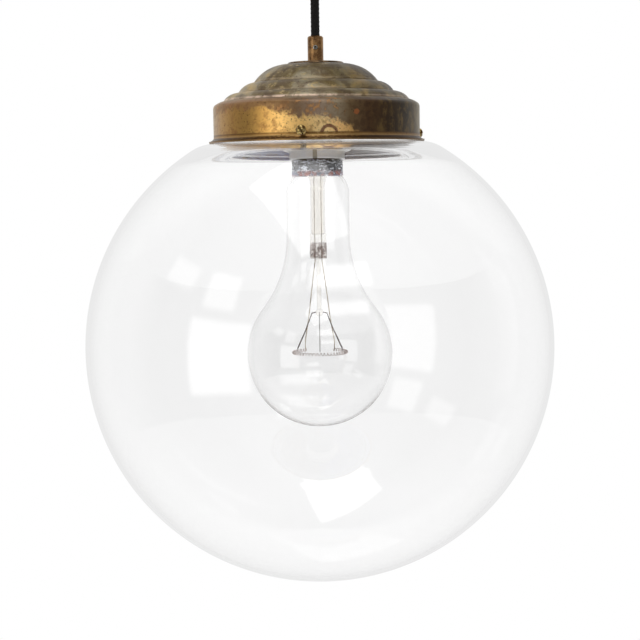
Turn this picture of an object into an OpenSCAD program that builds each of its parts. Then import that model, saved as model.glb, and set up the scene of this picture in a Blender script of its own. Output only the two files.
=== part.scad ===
// Globe pendant light: a clear glass globe under a stepped brass gallery, hung on a braided
// cord from a ceiling cup. Millimetres, +Z up, origin on the ceiling face of the mounting strap.

/* [Ceiling fitting] */
// Outer radius of the ceiling cup
cup_radius = 50; // [46:0.5:60]
// Height of the ceiling cup
cup_height = 38; // [37:0.5:46]
// Sheet thickness of the ceiling cup
cup_wall = 1; // [0.8:0.1:1.4]
// Radius of the cup's rounded shoulder
cup_shoulder = 10; // [6:0.5:12]
// Radius of the cup's flat floor round the outlet
cup_floor = 18; // [16:0.5:22]
// Width of the mounting strap
strap_width = 16; // [14:0.5:20]
// Thickness of the mounting strap
strap_thickness = 2; // [1.5:0.1:2.5]
// Distance between the strap's two ceiling screws
strap_spacing = 76; // [72:1:80]
// Diameter of the strap's ceiling screw holes
strap_hole = 4.5; // [4:0.1:5]
// Diameter of the strap's hole for the supply cable
cable_hole = 12; // [9:0.5:14]
// Diameter of the two screws in the side of the cup
cup_screw = 3.5; // [3:0.1:4]
// Height of the porcelain terminal block
block_height = 12; // [10:0.5:14]

/* [Swivel] */
// Radius of the ball collar clamped on the cord
ball_radius = 7; // [6.5:0.1:7.5]
// Thickness of the dished washer under the ball
dish_wall = 1.2; // [1:0.1:1.6]
// Wall of the outlet bush outside the washer
bush_wall = 1.4; // [1.2:0.1:2]
// Thickness of the outlet bush's flange
bush_flange = 3; // [2.5:0.1:4]
// Thickness of the outlet bush's lock nut
bush_nut_height = 4; // [3:0.1:5]

/* [Cord] */
// Diameter of the braided cord
cord_d = 5.7; // [5:0.1:6]
// Free length of cord between the ceiling cup and the lamp
free_cord = 47; // [40:1:47]
// Diameter of an insulated core
core_d = 2.1; // [1.6:0.1:2.2]

/* [Gallery] */
// Radius of the gallery's straight wall
gallery_radius = 65.8; // [62:0.1:72]
// Sheet thickness of the gallery
gallery_wall = 1.1; // [0.8:0.1:1.5]
// Height of the straight wall above the flange's lower edge
wall_height = 21.6; // [18:0.1:26]
// How far the bottom flange stands out from the wall
flange_reach = 3; // [2:0.1:4]
// Radius of the corner between wall and top
gallery_corner = 3; // [2:0.1:4]
// Width of the lowest band on top
band_1_width = 6.9; // [6:0.1:8]
// Height of the lowest band above the wall
band_1_rise = 4.8; // [4:0.1:6]
// Width of the second band
band_2_width = 9.4; // [8:0.1:11]
// Rise of the second band
band_2_rise = 4.9; // [4:0.1:6]
// Width of the third band
band_3_width = 10.2; // [9:0.1:11]
// Rise of the third band
band_3_rise = 6.7; // [6:0.1:8]
// Rise of the dome to the flat under the disc
dome_rise = 11.3; // [9:0.1:13]

/* [Top fittings] */
// Radius of the disc on top of the gallery
disc_radius = 17.8; // [14:0.1:20]
// Thickness of that disc
disc_height = 1.3; // [1:0.1:2]
// Diameter of the cord grip's barrel
grip_d = 10; // [9.9:0.1:12]
// Height of the cord grip's barrel
grip_height = 16.4; // [12:0.1:20]
// Diameter of the hollow threaded shank under it
shank_d = 9.6; // [9.4:0.1:10]
// Length of the shank
shank_length = 19; // [18.5:0.1:20]
// Width across the flats of the lock nut
nut_flats = 14; // [13:0.5:17]
// Height of the lock nut
nut_height = 4; // [3:0.1:4.5]
// Thickness of the toothed lock washer
washer_height = 1; // [0.6:0.1:1.2]

/* [Globe] */
// Outer radius of the glass globe
globe_radius = 150; // [130:1:170]
// Thickness of the globe's glass
glass_wall = 2.5; // [2:0.1:3]
// Gap between the globe's neck and the gallery's wall
neck_gap = 4.7; // [4.3:0.1:9]
// Radius of the rounded shoulder under the gallery
shoulder_radius = 26; // [20:0.5:32]
// Radius of the hollow fillet where the neck rises
neck_fillet = 4; // [3:0.1:5]
// How far the neck's lip stands out
lip_reach = 2.9; // [2:0.1:3.2]
// Height of the lip
lip_height = 4.5; // [3:0.1:6]

/* [Gallery screws] */
// Number of screws that hold the globe
screw_count = 3; // [3:1:3]
// Direction of the first screw, in degrees from +X
screw_start = -97.3; // [-120:0.1:-60]
// Diameter of the screws
screw_d = 3.9; // [3:0.1:4]
// Height of the screws above the flange's lower edge
screw_height = 5.6; // [5.4:0.1:8]
// Diameter of the screws' round heads
screw_head_d = 6.1; // [5:0.1:6.4]
// Thickness of the screws' heads
screw_head = 3.4; // [2:0.1:4]
// Space between the wall and the screws' heads
screw_stand_off = 6; // [4:0.1:8]
// Thickness of the soft pad at the tip of each screw
pad_height = 1.2; // [0.8:0.1:1.6]

/* [Lamp holder] */
// Outer radius of the porcelain holder
holder_radius = 22.5; // [21.5:0.1:24]
// Height of the holder, from its domed top to its lower rim
holder_height = 45.2; // [43:0.1:48]
// Outer radius of the holder's lower rim
rim_radius = 18; // [17:0.1:19]
// Height of that narrower rim
rim_height = 9.5; // [7:0.1:11]
// Thickness of the domed porcelain cap
cap_wall = 3.2; // [2.5:0.1:3.5]
// Inner radius of the brass screw shell
shell_radius = 13.3; // [13.3:0.1:13.6]
// Thickness of the screw shell
shell_wall = 0.5; // [0.4:0.1:0.6]

/* [Bulb] */
// Radius of the bulb's round end
bulb_radius = 46.8; // [42:0.1:50]
// Length of the glass from the cap's skirt to the round end's tip
bulb_length = 161.3; // [150:0.1:175]
// Radius of the bulb's neck
bulb_neck = 20.3; // [18.5:0.1:22]
// Length of the neck and its shoulder under the skirt
bulb_neck_length = 38; // [30:0.5:45]
// Thickness of the bulb's glass
bulb_wall = 0.8; // [0.6:0.1:1.2]
// Radius of the cap's skirt
skirt_radius = 16.5; // [16:0.1:17]
// Length of the skirt
skirt_length = 17; // [14:0.5:20]
// Radius of the cap's thread
thread_radius = 13; // [12.9:0.1:13]
// Length of the cap's thread
thread_length = 20; // [18:0.5:20]
// Radius of the ring that the filament makes
filament_ring = 17; // [14:0.5:20]
// Radius of the filament's curls
curl_radius = 0.9; // [0.7:0.1:1.1]
// Diameter of the filament's wire
filament_wire = 0.44; // [0.4:0.02:0.5]
// Number of curls in the filament
curl_count = 40; // [30:1:44]

/* [Hidden] */
$fn = 96;
// Fits and gaps
thread_gap = 0.05;
hole_gap = 0.2;
seat_gap = 0.3;
swivel_gap = 0.3;
// Points that the cord's centre line passes, by height below the ceiling
cord_heights = [-24, -36, -48, -60, -72, -84, -98, -112, -124];
cord_sides = 12;
core_sides = 8;

// Ceiling levels
rim_level = -0.5;
outlet_level = -cup_height;
pivot_level = outlet_level + 6;
mouth_level = outlet_level - bush_flange;
dish_inner = ball_radius + swivel_gap;
dish_outer = dish_inner + dish_wall;
bowl_radius = dish_outer + swivel_gap;
bush_radius = bowl_radius + bush_wall;
bush_flange_radius = bush_radius + 2.8;
bush_hole = 5.6;
bush_mouth = 7.5;
bush_top = pivot_level + 3;
ball_cut = 5.5;
collar_radius = ball_radius - 1;
cord_bore = cord_d / 2 + hole_gap;
// The ears' outer corners stand just inside the cup
ear_face = sqrt(pow(cup_radius - cup_wall - seat_gap, 2) - pow(strap_width / 2, 2));
ear_thickness = 2;
ear_length = 14;
ear_screw_level = -9;
block_near = 12;
block_size = [18, strap_width];
block_row_inset = 4.5;
block_screw_rows = [block_near + block_row_inset, block_near + block_size[0] - block_row_inset];
block_screw_side = 4;
block_bottom = -strap_thickness - block_height;
cord_top = cord_heights[0];
cord_end = cord_heights[len(cord_heights) - 1];

// Lamp levels, measured up from the globe's centre
neck_radius = gallery_radius - gallery_wall - neck_gap;
shoulder_reach = neck_radius + 6;
shoulder_centre = sqrt(pow(globe_radius - shoulder_radius, 2) - pow(shoulder_reach, 2));
shoulder_angle = atan2(shoulder_centre, shoulder_reach);
shoulder_top = shoulder_centre + shoulder_radius;
flange_level = shoulder_top + 0.4;
screw_level = flange_level + screw_height;
lip_level = screw_level + screw_d / 2 + seat_gap;
lip_radius = neck_radius + lip_reach;
wall_level = flange_level + wall_height;
crease_1 = [gallery_radius - band_1_width, wall_level + band_1_rise];
crease_2 = crease_1 + [-band_2_width, band_2_rise];
crease_3 = crease_2 + [-band_3_width, band_3_rise];
gallery_top = crease_3[1] + dome_rise;
grip_base = gallery_top + disc_height;
grip_top = grip_base + grip_height;
shank_radius = shank_d / 2;
shank_bore = shank_radius + thread_gap;
washer_level = gallery_top - gallery_wall;
nut_level = washer_level - washer_height;
entry_top = nut_level - nut_height;
holder_top = entry_top - 2.1;
holder_rim = holder_top - holder_height;
entry_radius = 7;
entry_flange = 9.5;
cap_round = holder_radius - entry_flange - 0.5;
cap_level = holder_top - 20.5;
insert_top = cap_level + 5.8;
insert_level = cap_level - 1.2;
spigot_radius = holder_radius - cap_wall - seat_gap;
insert_radius = spigot_radius - 2.5;
shell_bottom = holder_rim + 3.7;
plate_height = 1.2;
contact_screw_at = 11;
// The lamp hangs by its cord: its top lies this far under the ceiling
globe_level = mouth_level - free_cord - grip_top;

// Gallery screws, measured out from the lamp's axis
pad_start = neck_radius + seat_gap;
screw_start_radius = pad_start + pad_height;
screw_head_start = gallery_radius + screw_stand_off;

// Bulb levels, measured up from the globe's centre
skirt_top = holder_rim - seat_gap;
skirt_bottom = skirt_top - skirt_length;
thread_top = skirt_top + thread_length;
insulator_top = thread_top + 2.2;
contact_top = insulator_top + 1;
bulb_centre = skirt_bottom - bulb_length + bulb_radius;
neck_bottom = skirt_bottom - bulb_neck_length;
neck_top = skirt_bottom - 9.5;
neck_rise = neck_bottom - bulb_centre;
// Hollow curve that meets the round end and the neck smoothly
flank_radius = (pow(neck_rise, 2) + pow(bulb_neck, 2) - pow(bulb_radius, 2)) / (2 * (bulb_radius - bulb_neck));
flank_angle = atan2(neck_rise, bulb_neck + flank_radius);
seal_radius = skirt_radius - 0.7;
seal_top = skirt_bottom + 12;
flare_radius = seal_radius - bulb_wall - 0.1;
flare_top = skirt_bottom + 9;
press_top = skirt_bottom - 38;
press_bottom = press_top - 15;
button_level = press_bottom - 35;
button_radius = 2.4;
filament_level = bulb_centre + 1;
lead_wire = 0.7;
lead_spread = 2.2;
support_wire = 0.5;
// The filament is open behind, between its two leads
ring_start = 120;
ring_sweep = 300;
support_count = 5;

// Points along an arc, from angle a to angle b
function arc(centre, r, a, b, n) =
    [for (i = [0:n]) centre + r * [cos(a + (b - a) * i / n), sin(a + (b - a) * i / n)]];

// Points along the arc from p to q that swells by s to the left of that line
function swell(p, q, s, n) =
    let (chord = norm(q - p), r = (chord * chord / 4 + s * s) / (2 * s), half = asin(chord / 2 / r))
    let (side = [p[1] - q[1], q[0] - p[0]] / chord, centre = (p + q) / 2 + side * (s - r))
    let (start = atan2(p[1] - centre[1], p[0] - centre[0]))
    arc(centre, abs(r), start, start - 2 * half, n);

// Points up the right half of a dome that stands on its edge radius
function dome(edge, level, rise, n) =
    let (r = (edge * edge + rise * rise) / (2 * rise))
    arc([0, level + rise - r], r, acos(edge / r), 90, n);

function unit(v) = v / norm(v);
function left(v) = [-v[1], v[0]];
function reverse(p) = [for (i = [len(p) - 1:-1:0]) p[i]];

function distinct(p) = [for (i = [0:len(p) - 1]) if (i == 0 || norm(p[i] - p[i - 1]) > 0.01) p[i]];

// The line moved to its left by d, with mitred corners
function beside(p, d) =
    [for (i = [0:len(p) - 1])
        let (u = unit(i > 0 ? p[i] - p[i - 1] : p[1] - p[0]))
        let (v = unit(i < len(p) - 1 ? p[i + 1] - p[i] : p[i] - p[i - 1]))
        p[i] + (left(u) + left(v)) * d / (1 + u * v)];

// A turned sheet whose outer face follows the line
module spun(line, wall) {
    face = distinct(line);
    rotate_extrude() polygon(concat(face, reverse(beside(face, wall))));
}

// Round wire or cord along points; each ring is turned from its own reference direction
module wire(points, d, sides, refs) {
    n = len(points) - 1;
    rings = [for (i = [0:n])
        let (t = unit(points[min(i + 1, n)] - points[max(i - 1, 0)]))
        let (x = unit(cross(len(refs) == 3 ? refs : refs[i], t)), y = cross(t, x))
        for (k = [0:sides - 1]) points[i] + d / 2 * (cos(k * 360 / sides) * x + sin(k * 360 / sides) * y)];
    walls = [for (i = [0:n - 1]) for (k = [0:sides - 1])
        let (a = i * sides + k, b = i * sides + (k + 1) % sides)
        for (f = [[a, a + sides, b + sides], [a, b + sides, b]]) f];
    ends = [for (k = [1:sides - 2]) for (f = [[0, k, k + 1], [n * sides, n * sides + k + 1, n * sides + k]]) f];
    polyhedron(rings, concat(walls, ends));
}

// Cylinder that points away from the lamp's axis, in a given direction
module radial(direction, from, to, level, r) {
    rotate([0, 0, direction]) translate([from, 0, level]) rotate([0, 90, 0]) cylinder(r = r, h = to - from);
}

// Round head with a rounded face and a screwdriver slot, standing on z = 0
module slotted_head(r, height, slot) {
    difference() {
        rotate_extrude() polygon(concat([[0, 0], [r, 0]], dome(r, height * 0.5, height * 0.5, 6)));
        translate([-r - 1, -slot / 2, height * 0.5]) cube([2 * r + 2, slot, height]);
    }
}

module at_lamp() {
    translate([0, 0, globe_level]) children();
}

// Ceiling fitting

module mounting_strap() {
    color("silver") difference() {
        union() {
            translate([-ear_face, -strap_width / 2, -strap_thickness])
                cube([2 * ear_face, strap_width, strap_thickness]);
            for (side = [-1, 1])
                translate([side * (ear_face - ear_thickness / 2), 0, -ear_length / 2])
                    cube([ear_thickness, strap_width, ear_length], center = true);
        }
        for (side = [-1, 1]) {
            translate([side * strap_spacing / 2, 0, -strap_thickness - 1])
                cylinder(d = strap_hole, h = strap_thickness + 2);
            translate([side * (ear_face - ear_thickness - 1), 0, ear_screw_level]) rotate([0, side * 90, 0])
                cylinder(d = cup_screw + 2 * thread_gap, h = ear_thickness + 2);
        }
        translate([0, 0, -strap_thickness - 1]) cylinder(d = cable_hole, h = strap_thickness + 2);
        translate([-block_near - block_size[0] / 2, 0, -strap_thickness - 1])
            cylinder(d = 3.1, h = strap_thickness + 2);
    }
}

function cup_line() =
    let (side = outlet_level + 25, bend = arc([cup_radius - cup_shoulder, side], cup_shoulder, 0, -65, 8))
    let (foot = [cup_floor + 2.5, outlet_level + 1.2])
    concat([[cup_radius, rim_level]], bend, swell(bend[8] + [-1.2, -0.2], foot, 3, 8),
        [[cup_floor, outlet_level], [bush_radius + hole_gap, outlet_level]]);

module ceiling_cup() {
    color("darkgoldenrod") difference() {
        spun(cup_line(), -cup_wall);
        for (side = [0, 180])
            radial(side, cup_radius - cup_wall - 2, cup_radius + 2, ear_screw_level, cup_screw / 2 + hole_gap);
    }
}

module cup_screws() {
    color("goldenrod") for (side = [0, 180]) rotate([0, 0, side]) {
        radial(0, ear_face - 5, cup_radius + 0.2, ear_screw_level, cup_screw / 2);
        translate([cup_radius + 0.1, 0, ear_screw_level]) rotate([0, 90, 0]) slotted_head(3.4, 2.6, 0.9);
    }
}

module outlet_bush() {
    color("goldenrod") difference() {
        union() {
            translate([0, 0, mouth_level]) rotate_extrude()
                polygon(concat([[0, 0], [bush_flange_radius - 1, 0]],
                    arc([bush_flange_radius - 1.2, 1.2], 1.2, -60, 0, 4),
                    [[bush_flange_radius, bush_flange], [0, bush_flange]]));
            translate([0, 0, outlet_level]) cylinder(r = bush_radius, h = bush_top - outlet_level);
        }
        translate([0, 0, pivot_level]) sphere(r = bowl_radius);
        translate([0, 0, pivot_level]) cylinder(r = bowl_radius, h = bush_top - pivot_level + 1);
        translate([0, 0, mouth_level - 0.01]) cylinder(r1 = bush_mouth, r2 = bush_hole, h = 2.2);
        translate([0, 0, mouth_level]) cylinder(r = bush_hole, h = bush_flange);
    }
}

module bush_nut() {
    color("silver") translate([0, 0, outlet_level + cup_wall]) difference() {
        cylinder(r = bush_radius + 4, h = bush_nut_height, $fn = 6);
        translate([0, 0, -1]) cylinder(r = bush_radius + thread_gap, h = bush_nut_height + 2);
    }
}

module terminal_block() {
    color("ivory") difference() {
        translate([-block_near - block_size[0], -block_size[1] / 2, block_bottom])
            cube([block_size[0], block_size[1], block_height]);
        for (x = block_screw_rows, y = [-block_screw_side, block_screw_side])
            translate([-x, y, block_bottom - 1]) cylinder(r = 1.6, h = block_height - 2);
        for (y = [-block_screw_side, block_screw_side])
            translate([-block_near - block_size[0] - 1, y, block_bottom + 5]) rotate([0, 90, 0])
                cylinder(d = core_d + 2 * seat_gap, h = block_size[0] + 2);
        translate([-block_near - block_size[0] / 2, 0, block_bottom - 1]) cylinder(r = 1.6, h = block_height + 2);
        translate([-block_near - block_size[0] / 2, 0, block_bottom - 1]) cylinder(r = 3, h = 4);
    }
}

module block_screw() {
    color("silver") translate([-block_near - block_size[0] / 2, 0, block_bottom + 0.6]) {
        cylinder(r = 1.5, h = block_height + strap_thickness - 0.6);
        translate([0, 0, 2.4]) mirror([0, 0, 1]) slotted_head(2.7, 2.2, 0.7);
    }
}

module terminal_screws() {
    color("silver") for (x = block_screw_rows, y = [-block_screw_side, block_screw_side])
        translate([-x, y, block_bottom - 1.4]) {
            cylinder(r = 1.5, h = 4.6);
            translate([0, 0, 0.9]) mirror([0, 0, 1]) slotted_head(2.2, 1.8, 0.6);
        }
}

// Core from just above the cord's top into the terminal block
module feed(side) {
    points = [[-1.2, side * 1.2, cord_top + 0.8], [-1.6, side * 1.6, cord_top + 4],
        [-3.6, side * 2.8, cord_top + 8], [-6.5, side * 3.8, cord_top + 11.5],
        [-9.5, side * block_screw_side, block_bottom + 4.4], [-13, side * block_screw_side, block_bottom + 5],
        [-16.2, side * block_screw_side, block_bottom + 5]];
    wire(points, core_d, core_sides, [0, side, 0.1]);
}

module live_feed() {
    color("saddlebrown") feed(1);
}

module neutral_feed() {
    color("steelblue") feed(-1);
}

// Swivel

module swivel_washer() {
    color("goldenrod") translate([0, 0, pivot_level]) difference() {
        sphere(r = dish_outer);
        sphere(r = dish_inner);
        translate([0, 0, -dish_outer * cos(65)]) cylinder(r = dish_outer + 1, h = 2 * dish_outer);
        translate([0, 0, -dish_outer - 1]) cylinder(r = ball_radius * 0.7, h = dish_outer);
    }
}

module ball_collar() {
    color("darkgoldenrod") translate([0, 0, pivot_level]) difference() {
        union() {
            intersection() {
                sphere(r = ball_radius);
                translate([0, 0, -ball_cut]) cylinder(r = ball_radius + 1, h = ball_cut + ball_radius * 0.5);
            }
            cylinder(r = collar_radius, h = ball_cut);
        }
        translate([0, 0, -ball_radius]) cylinder(r = cord_bore, h = 2 * ball_radius);
        radial(0, 0, ball_radius + 1, ball_radius / 2, 1.5 + thread_gap);
    }
}

module collar_screw() {
    color("dimgray") translate([0, 0, pivot_level]) difference() {
        radial(0, cord_bore, collar_radius + 0.2, ball_radius / 2, 1.5);
        translate([collar_radius - 0.6, -0.3, ball_radius / 2 - 2]) cube([2, 0.6, 4]);
    }
}

// Cord

module cord() {
    color("black") wire([for (z = cord_heights) [0, 0, z]], cord_d, cord_sides, [0, 1, 0]);
}

// Top fittings

module cord_grip() {
    color("darkgoldenrod") at_lamp() difference() {
        union() {
            rotate_extrude() polygon([[0, grip_base], [grip_d / 2, grip_base], [grip_d / 2, grip_top - 0.8],
                [grip_d / 2 - 0.8, grip_top], [0, grip_top]]);
            translate([0, 0, grip_base - shank_length]) cylinder(r = shank_radius, h = shank_length + 1);
        }
        translate([0, 0, grip_base - shank_length - 1]) cylinder(r = cord_bore, h = shank_length + grip_height + 2);
        radial(-90, 0, grip_d, grip_top - 7.4, 1.5 + thread_gap);
    }
}

module grip_screw() {
    color("dimgray") at_lamp() difference() {
        radial(-90, cord_bore - hole_gap + 0.02, grip_d / 2 + 0.1, grip_top - 7.4, 1.5);
        rotate([0, 0, -90]) translate([grip_d / 2 - 0.7, -0.3, grip_top - 9.4]) cube([2, 0.6, 4]);
    }
}

module top_disc() {
    color("darkgoldenrod") at_lamp() rotate_extrude() polygon([
        [shank_bore, gallery_top], [disc_radius - 0.4, gallery_top],
        [disc_radius, gallery_top + 0.3], [disc_radius - 0.2, gallery_top + disc_height - 0.3],
        [disc_radius - 0.9, gallery_top + disc_height], [shank_bore, gallery_top + disc_height]
    ]);
}

// Outer face of the gallery, from the flange's edge up over the steps to the top hole
function gallery_line() =
    let (r = gallery_radius, z = flange_level, lip = gallery_radius + flange_reach)
    let (bend = arc([r - gallery_corner, wall_level], gallery_corner, 0, 65, 6))
    concat(swell([lip, z + 0.8 * gallery_wall], [r, z + flange_reach], 0.5, 6), bend,
        swell(bend[6], crease_1, -0.3, 4), swell(crease_1 + [0, 0.5], crease_2, -1.4, 8),
        swell(crease_2 + [0, 0.5], crease_3, -1.5, 8), swell(crease_3 + [0, 0.6], [disc_radius, gallery_top], -3, 10),
        [[shank_radius + hole_gap, gallery_top]]);

module gallery() {
    color("goldenrod") at_lamp() difference() {
        spun(gallery_line(), gallery_wall);
        for (i = [0:screw_count - 1])
            radial(screw_start + i * 360 / screw_count, gallery_radius - 6, gallery_radius + 6, screw_level,
                screw_d / 2 + thread_gap);
    }
}

module lock_washer() {
    color("silver") at_lamp() translate([0, 0, nut_level]) difference() {
        cylinder(r = nut_flats / 2 + 2, h = washer_height);
        translate([0, 0, -1]) cylinder(r = shank_radius + hole_gap, h = washer_height + 2);
        for (a = [0:30:330])
            rotate([0, 0, a]) translate([nut_flats / 2 + 1.2, -0.5, -1]) cube([3, 1, washer_height + 2]);
    }
}

module lock_nut() {
    color("silver") at_lamp() translate([0, 0, entry_top]) difference() {
        cylinder(r = nut_flats / 2 / cos(30), h = nut_height, $fn = 6);
        translate([0, 0, -1]) cylinder(r = shank_bore, h = nut_height + 2);
    }
}

// Lamp holder

module entry_bush() {
    color("goldenrod") at_lamp() difference() {
        union() {
            translate([0, 0, entry_top - 9.6]) cylinder(r = entry_radius, h = 9.6);
            translate([0, 0, holder_top - cap_wall - 2]) cylinder(r = entry_flange, h = 2);
        }
        translate([0, 0, entry_top - 11]) cylinder(r = shank_bore, h = 13);
    }
}

module holder_cap() {
    bend = arc([holder_radius - cap_round, holder_top - cap_round], cap_round, 0, 90, 10);
    color("white") at_lamp()
        spun(concat([[holder_radius, cap_level]], bend, [[entry_radius + hole_gap, holder_top]]), cap_wall);
}

module holder_insert() {
    color("whitesmoke") at_lamp() difference() {
        translate([0, 0, insert_level]) cylinder(r = insert_radius, h = insert_top - insert_level);
        translate([0, 0, insert_level - 1]) cylinder(r = 5.5, h = 3.4);
        for (x = [-3.8, contact_screw_at - 4])
            translate([x, 0, insert_level - 1]) cylinder(r = 1.2 + hole_gap, h = insert_top - insert_level + 2);
        for (side = [-1, 1])
            translate([side * contact_screw_at, 0, insert_top - 4]) cylinder(r = 1.6, h = 6);
    }
}

module holder_sleeve() {
    step = holder_rim + rim_height;
    bore = shell_radius + shell_wall + 0.4;
    color("white") at_lamp() rotate_extrude() polygon(concat(
        [[bore, holder_rim + 0.8], [bore + 0.8, holder_rim], [rim_radius - 1, holder_rim]],
        arc([rim_radius - 1, holder_rim + 1], 1, -60, 0, 4),
        swell([rim_radius, step - 2.5], [rim_radius + 1.6, step], 0.4, 4),
        arc([holder_radius - 1.5, step + 1.5], 1.5, -90, 0, 4),
        [[holder_radius, cap_level - 0.2], [spigot_radius, cap_level - 0.2], [spigot_radius, cap_level + 4],
        [insert_radius + seat_gap, cap_level + 4], [insert_radius + seat_gap, insert_level], [bore, insert_level]]));
}

module screw_shell() {
    outer = shell_radius + shell_wall;
    color("gold") at_lamp() rotate_extrude() polygon([[shell_radius, shell_bottom], [outer, shell_bottom],
        [outer, insert_level], [6, insert_level], [6, insert_level - shell_wall],
        [shell_radius, insert_level - shell_wall]]);
}

// Plate under a contact screw, with the post that leads down through the insert
module contact_plate(side, post_at, post_bottom) {
    translate([0, 0, insert_top]) difference() {
        translate([side < 0 ? -contact_screw_at - 3.2 : post_at - 1.6, -3, 0])
            cube([contact_screw_at + 4.8 - abs(post_at), 6, plate_height]);
        translate([side * contact_screw_at, 0, -1]) cylinder(r = 1.5 + thread_gap, h = plate_height + 2);
    }
    translate([post_at, 0, post_bottom]) cylinder(r = 1.2, h = insert_top - post_bottom + plate_height / 2);
}

module centre_contact() {
    tip = contact_top + seat_gap;
    root = insert_level + 2.4;
    leaf = [[-4.8, root], [-4.8, root - 0.6], [-1.6, root - 0.6], [0.4, tip], [4, tip], [4.2, tip + 0.6],
        [0.8, tip + 0.6], [-1.2, root]];
    color("gold") at_lamp() {
        translate([0, 2.5, 0]) rotate([90, 0, 0]) linear_extrude(5) polygon(leaf);
        contact_plate(-1, -3.8, root - 0.3);
    }
}

module side_contact() {
    color("gold") at_lamp() contact_plate(1, contact_screw_at - 4, insert_level);
}

module contact_screws() {
    color("silver") at_lamp() for (side = [-1, 1])
        translate([side * contact_screw_at, 0, insert_top - 3]) {
            cylinder(r = 1.5, h = 3 + plate_height + 0.2);
            translate([0, 0, 3 + plate_height + 0.1]) slotted_head(2.6, 2, 0.7);
        }
}

// Core from the cord's lower end to its contact plate
module core(side) {
    start = cord_end - globe_level - 0.5;
    rest = insert_top + plate_height + core_d / 2 + 0.1;
    points = [[side * 1.25, 0, start], [side * 1.5, 0, start - 0.7], [side * 3, 0, rest + 0.2],
        [side * 5, 0, rest], [side * (contact_screw_at - 2.9), 0, rest]];
    at_lamp() wire(points, core_d, core_sides, [0, 1, 0]);
}

module live_core() {
    color("saddlebrown") core(-1);
}

module neutral_core() {
    color("steelblue") core(1);
}

// Globe

// One face of the globe's glass: inset 0 is the outer face
function globe_line(inset) = concat(
    arc([0, 0], globe_radius - inset, -90, shoulder_angle, 48),
    arc([shoulder_reach, shoulder_centre], shoulder_radius - inset, shoulder_angle, 90, 8),
    arc([neck_radius + neck_fillet, shoulder_top + neck_fillet], neck_fillet + inset, -90, -180, 6));

module globe() {
    top = lip_level + lip_height;
    lip = concat([[neck_radius, lip_level - 0.8]], arc([lip_radius - 1, lip_level + 1], 1, -90, 0, 4),
        arc([lip_radius - 1.5, top - 1.5], 1.5, 0, 90, 4));
    color("lightcyan", 0.35) at_lamp() rotate_extrude($fn = 128)
        polygon(concat(globe_line(0), lip, [[neck_radius - glass_wall, top]], reverse(globe_line(glass_wall))));
}

// Gallery screws

module screw_pad(i) {
    color("black") at_lamp()
        radial(screw_start + i * 360 / screw_count, pad_start, screw_start_radius, screw_level, screw_d / 2 - 0.35);
}

module gallery_screw(i) {
    color("darkgoldenrod") at_lamp() rotate([0, 0, screw_start + i * 360 / screw_count]) {
        radial(0, screw_start_radius, screw_head_start + 0.2, screw_level, screw_d / 2);
        translate([screw_head_start, 0, screw_level]) rotate([0, 90, 0])
            slotted_head(screw_head_d / 2, screw_head, 0.9);
    }
}

module screw_pad_1() {
    screw_pad(0);
}

module screw_pad_2() {
    screw_pad(1);
}

module screw_pad_3() {
    screw_pad(2);
}

module gallery_screw_1() {
    gallery_screw(0);
}

module gallery_screw_2() {
    gallery_screw(1);
}

module gallery_screw_3() {
    gallery_screw(2);
}

// Bulb

module bulb_end_contact() {
    edge = 4.6;
    color("silver") at_lamp() rotate_extrude() polygon(concat([[0, insulator_top], [edge, insulator_top]],
        dome(edge, insulator_top + 0.3, contact_top - insulator_top - 0.3, 6)));
}

module bulb_cap() {
    wall = 0.5;
    line = concat([[skirt_radius + 0.4, skirt_bottom], [skirt_radius, skirt_bottom + 0.8]],
        arc([skirt_radius - 1.5, skirt_top - 1.5], 1.5, 0, 90, 4), [[thread_radius, skirt_top],
        [thread_radius, thread_top - 0.8], [thread_radius - 0.8, thread_top], [thread_radius - 2.4, thread_top]]);
    color("silver") at_lamp() spun(line, wall);
}

module bulb_insulator() {
    color("black") at_lamp() rotate_extrude() polygon([[0, thread_top], [thread_radius - 1.2, thread_top],
        [thread_radius - 1.6, thread_top + 0.7], [5.4, insulator_top], [0, insulator_top]]);
}

// One face of the bulb's glass: inset 0 is the outer face
function bulb_line(inset) = concat(
    arc([0, bulb_centre], bulb_radius - inset, -90, flank_angle, 28),
    arc([bulb_neck + flank_radius, neck_bottom], flank_radius + inset, 180 + flank_angle, 180, 10),
    swell([bulb_neck - inset, neck_top], [seal_radius - inset, skirt_bottom], -0.8, 6),
    [[seal_radius - inset, seal_top]]);

module bulb_glass() {
    color("white", 0.3) at_lamp() rotate_extrude()
        polygon(concat(bulb_line(0), reverse(bulb_line(bulb_wall))));
}

module bulb_stem() {
    tube = 4.8;
    flare = concat(swell([flare_radius, flare_top], [tube, flare_top - 16], -2.5, 8), [[tube, press_top + 0.5]]);
    bore = lead_wire / 2 + 0.1;
    color("lightcyan", 0.5) at_lamp() {
        spun(flare, -1);
        difference() {
            intersection() {
                translate([0, 0, press_bottom]) cylinder(r = tube + 0.6, h = press_top - press_bottom + 1);
                translate([0, 0, press_bottom + 8]) cube([12, 4.4, 18], center = true);
            }
            for (side = [-1, 1])
                translate([side * lead_spread, 0, press_bottom - 1]) cylinder(r = bore, h = 20);
        }
        translate([0, 0, button_level]) cylinder(r = 1.4, h = press_bottom - button_level + 0.5);
        translate([0, 0, button_level]) sphere(r = button_radius);
    }
}

// A point on the filament's ring, raised or moved out by the given amounts
function ring_point(angle, out, up) =
    [(filament_ring + out) * cos(angle), (filament_ring + out) * sin(angle), filament_level + up];

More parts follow.
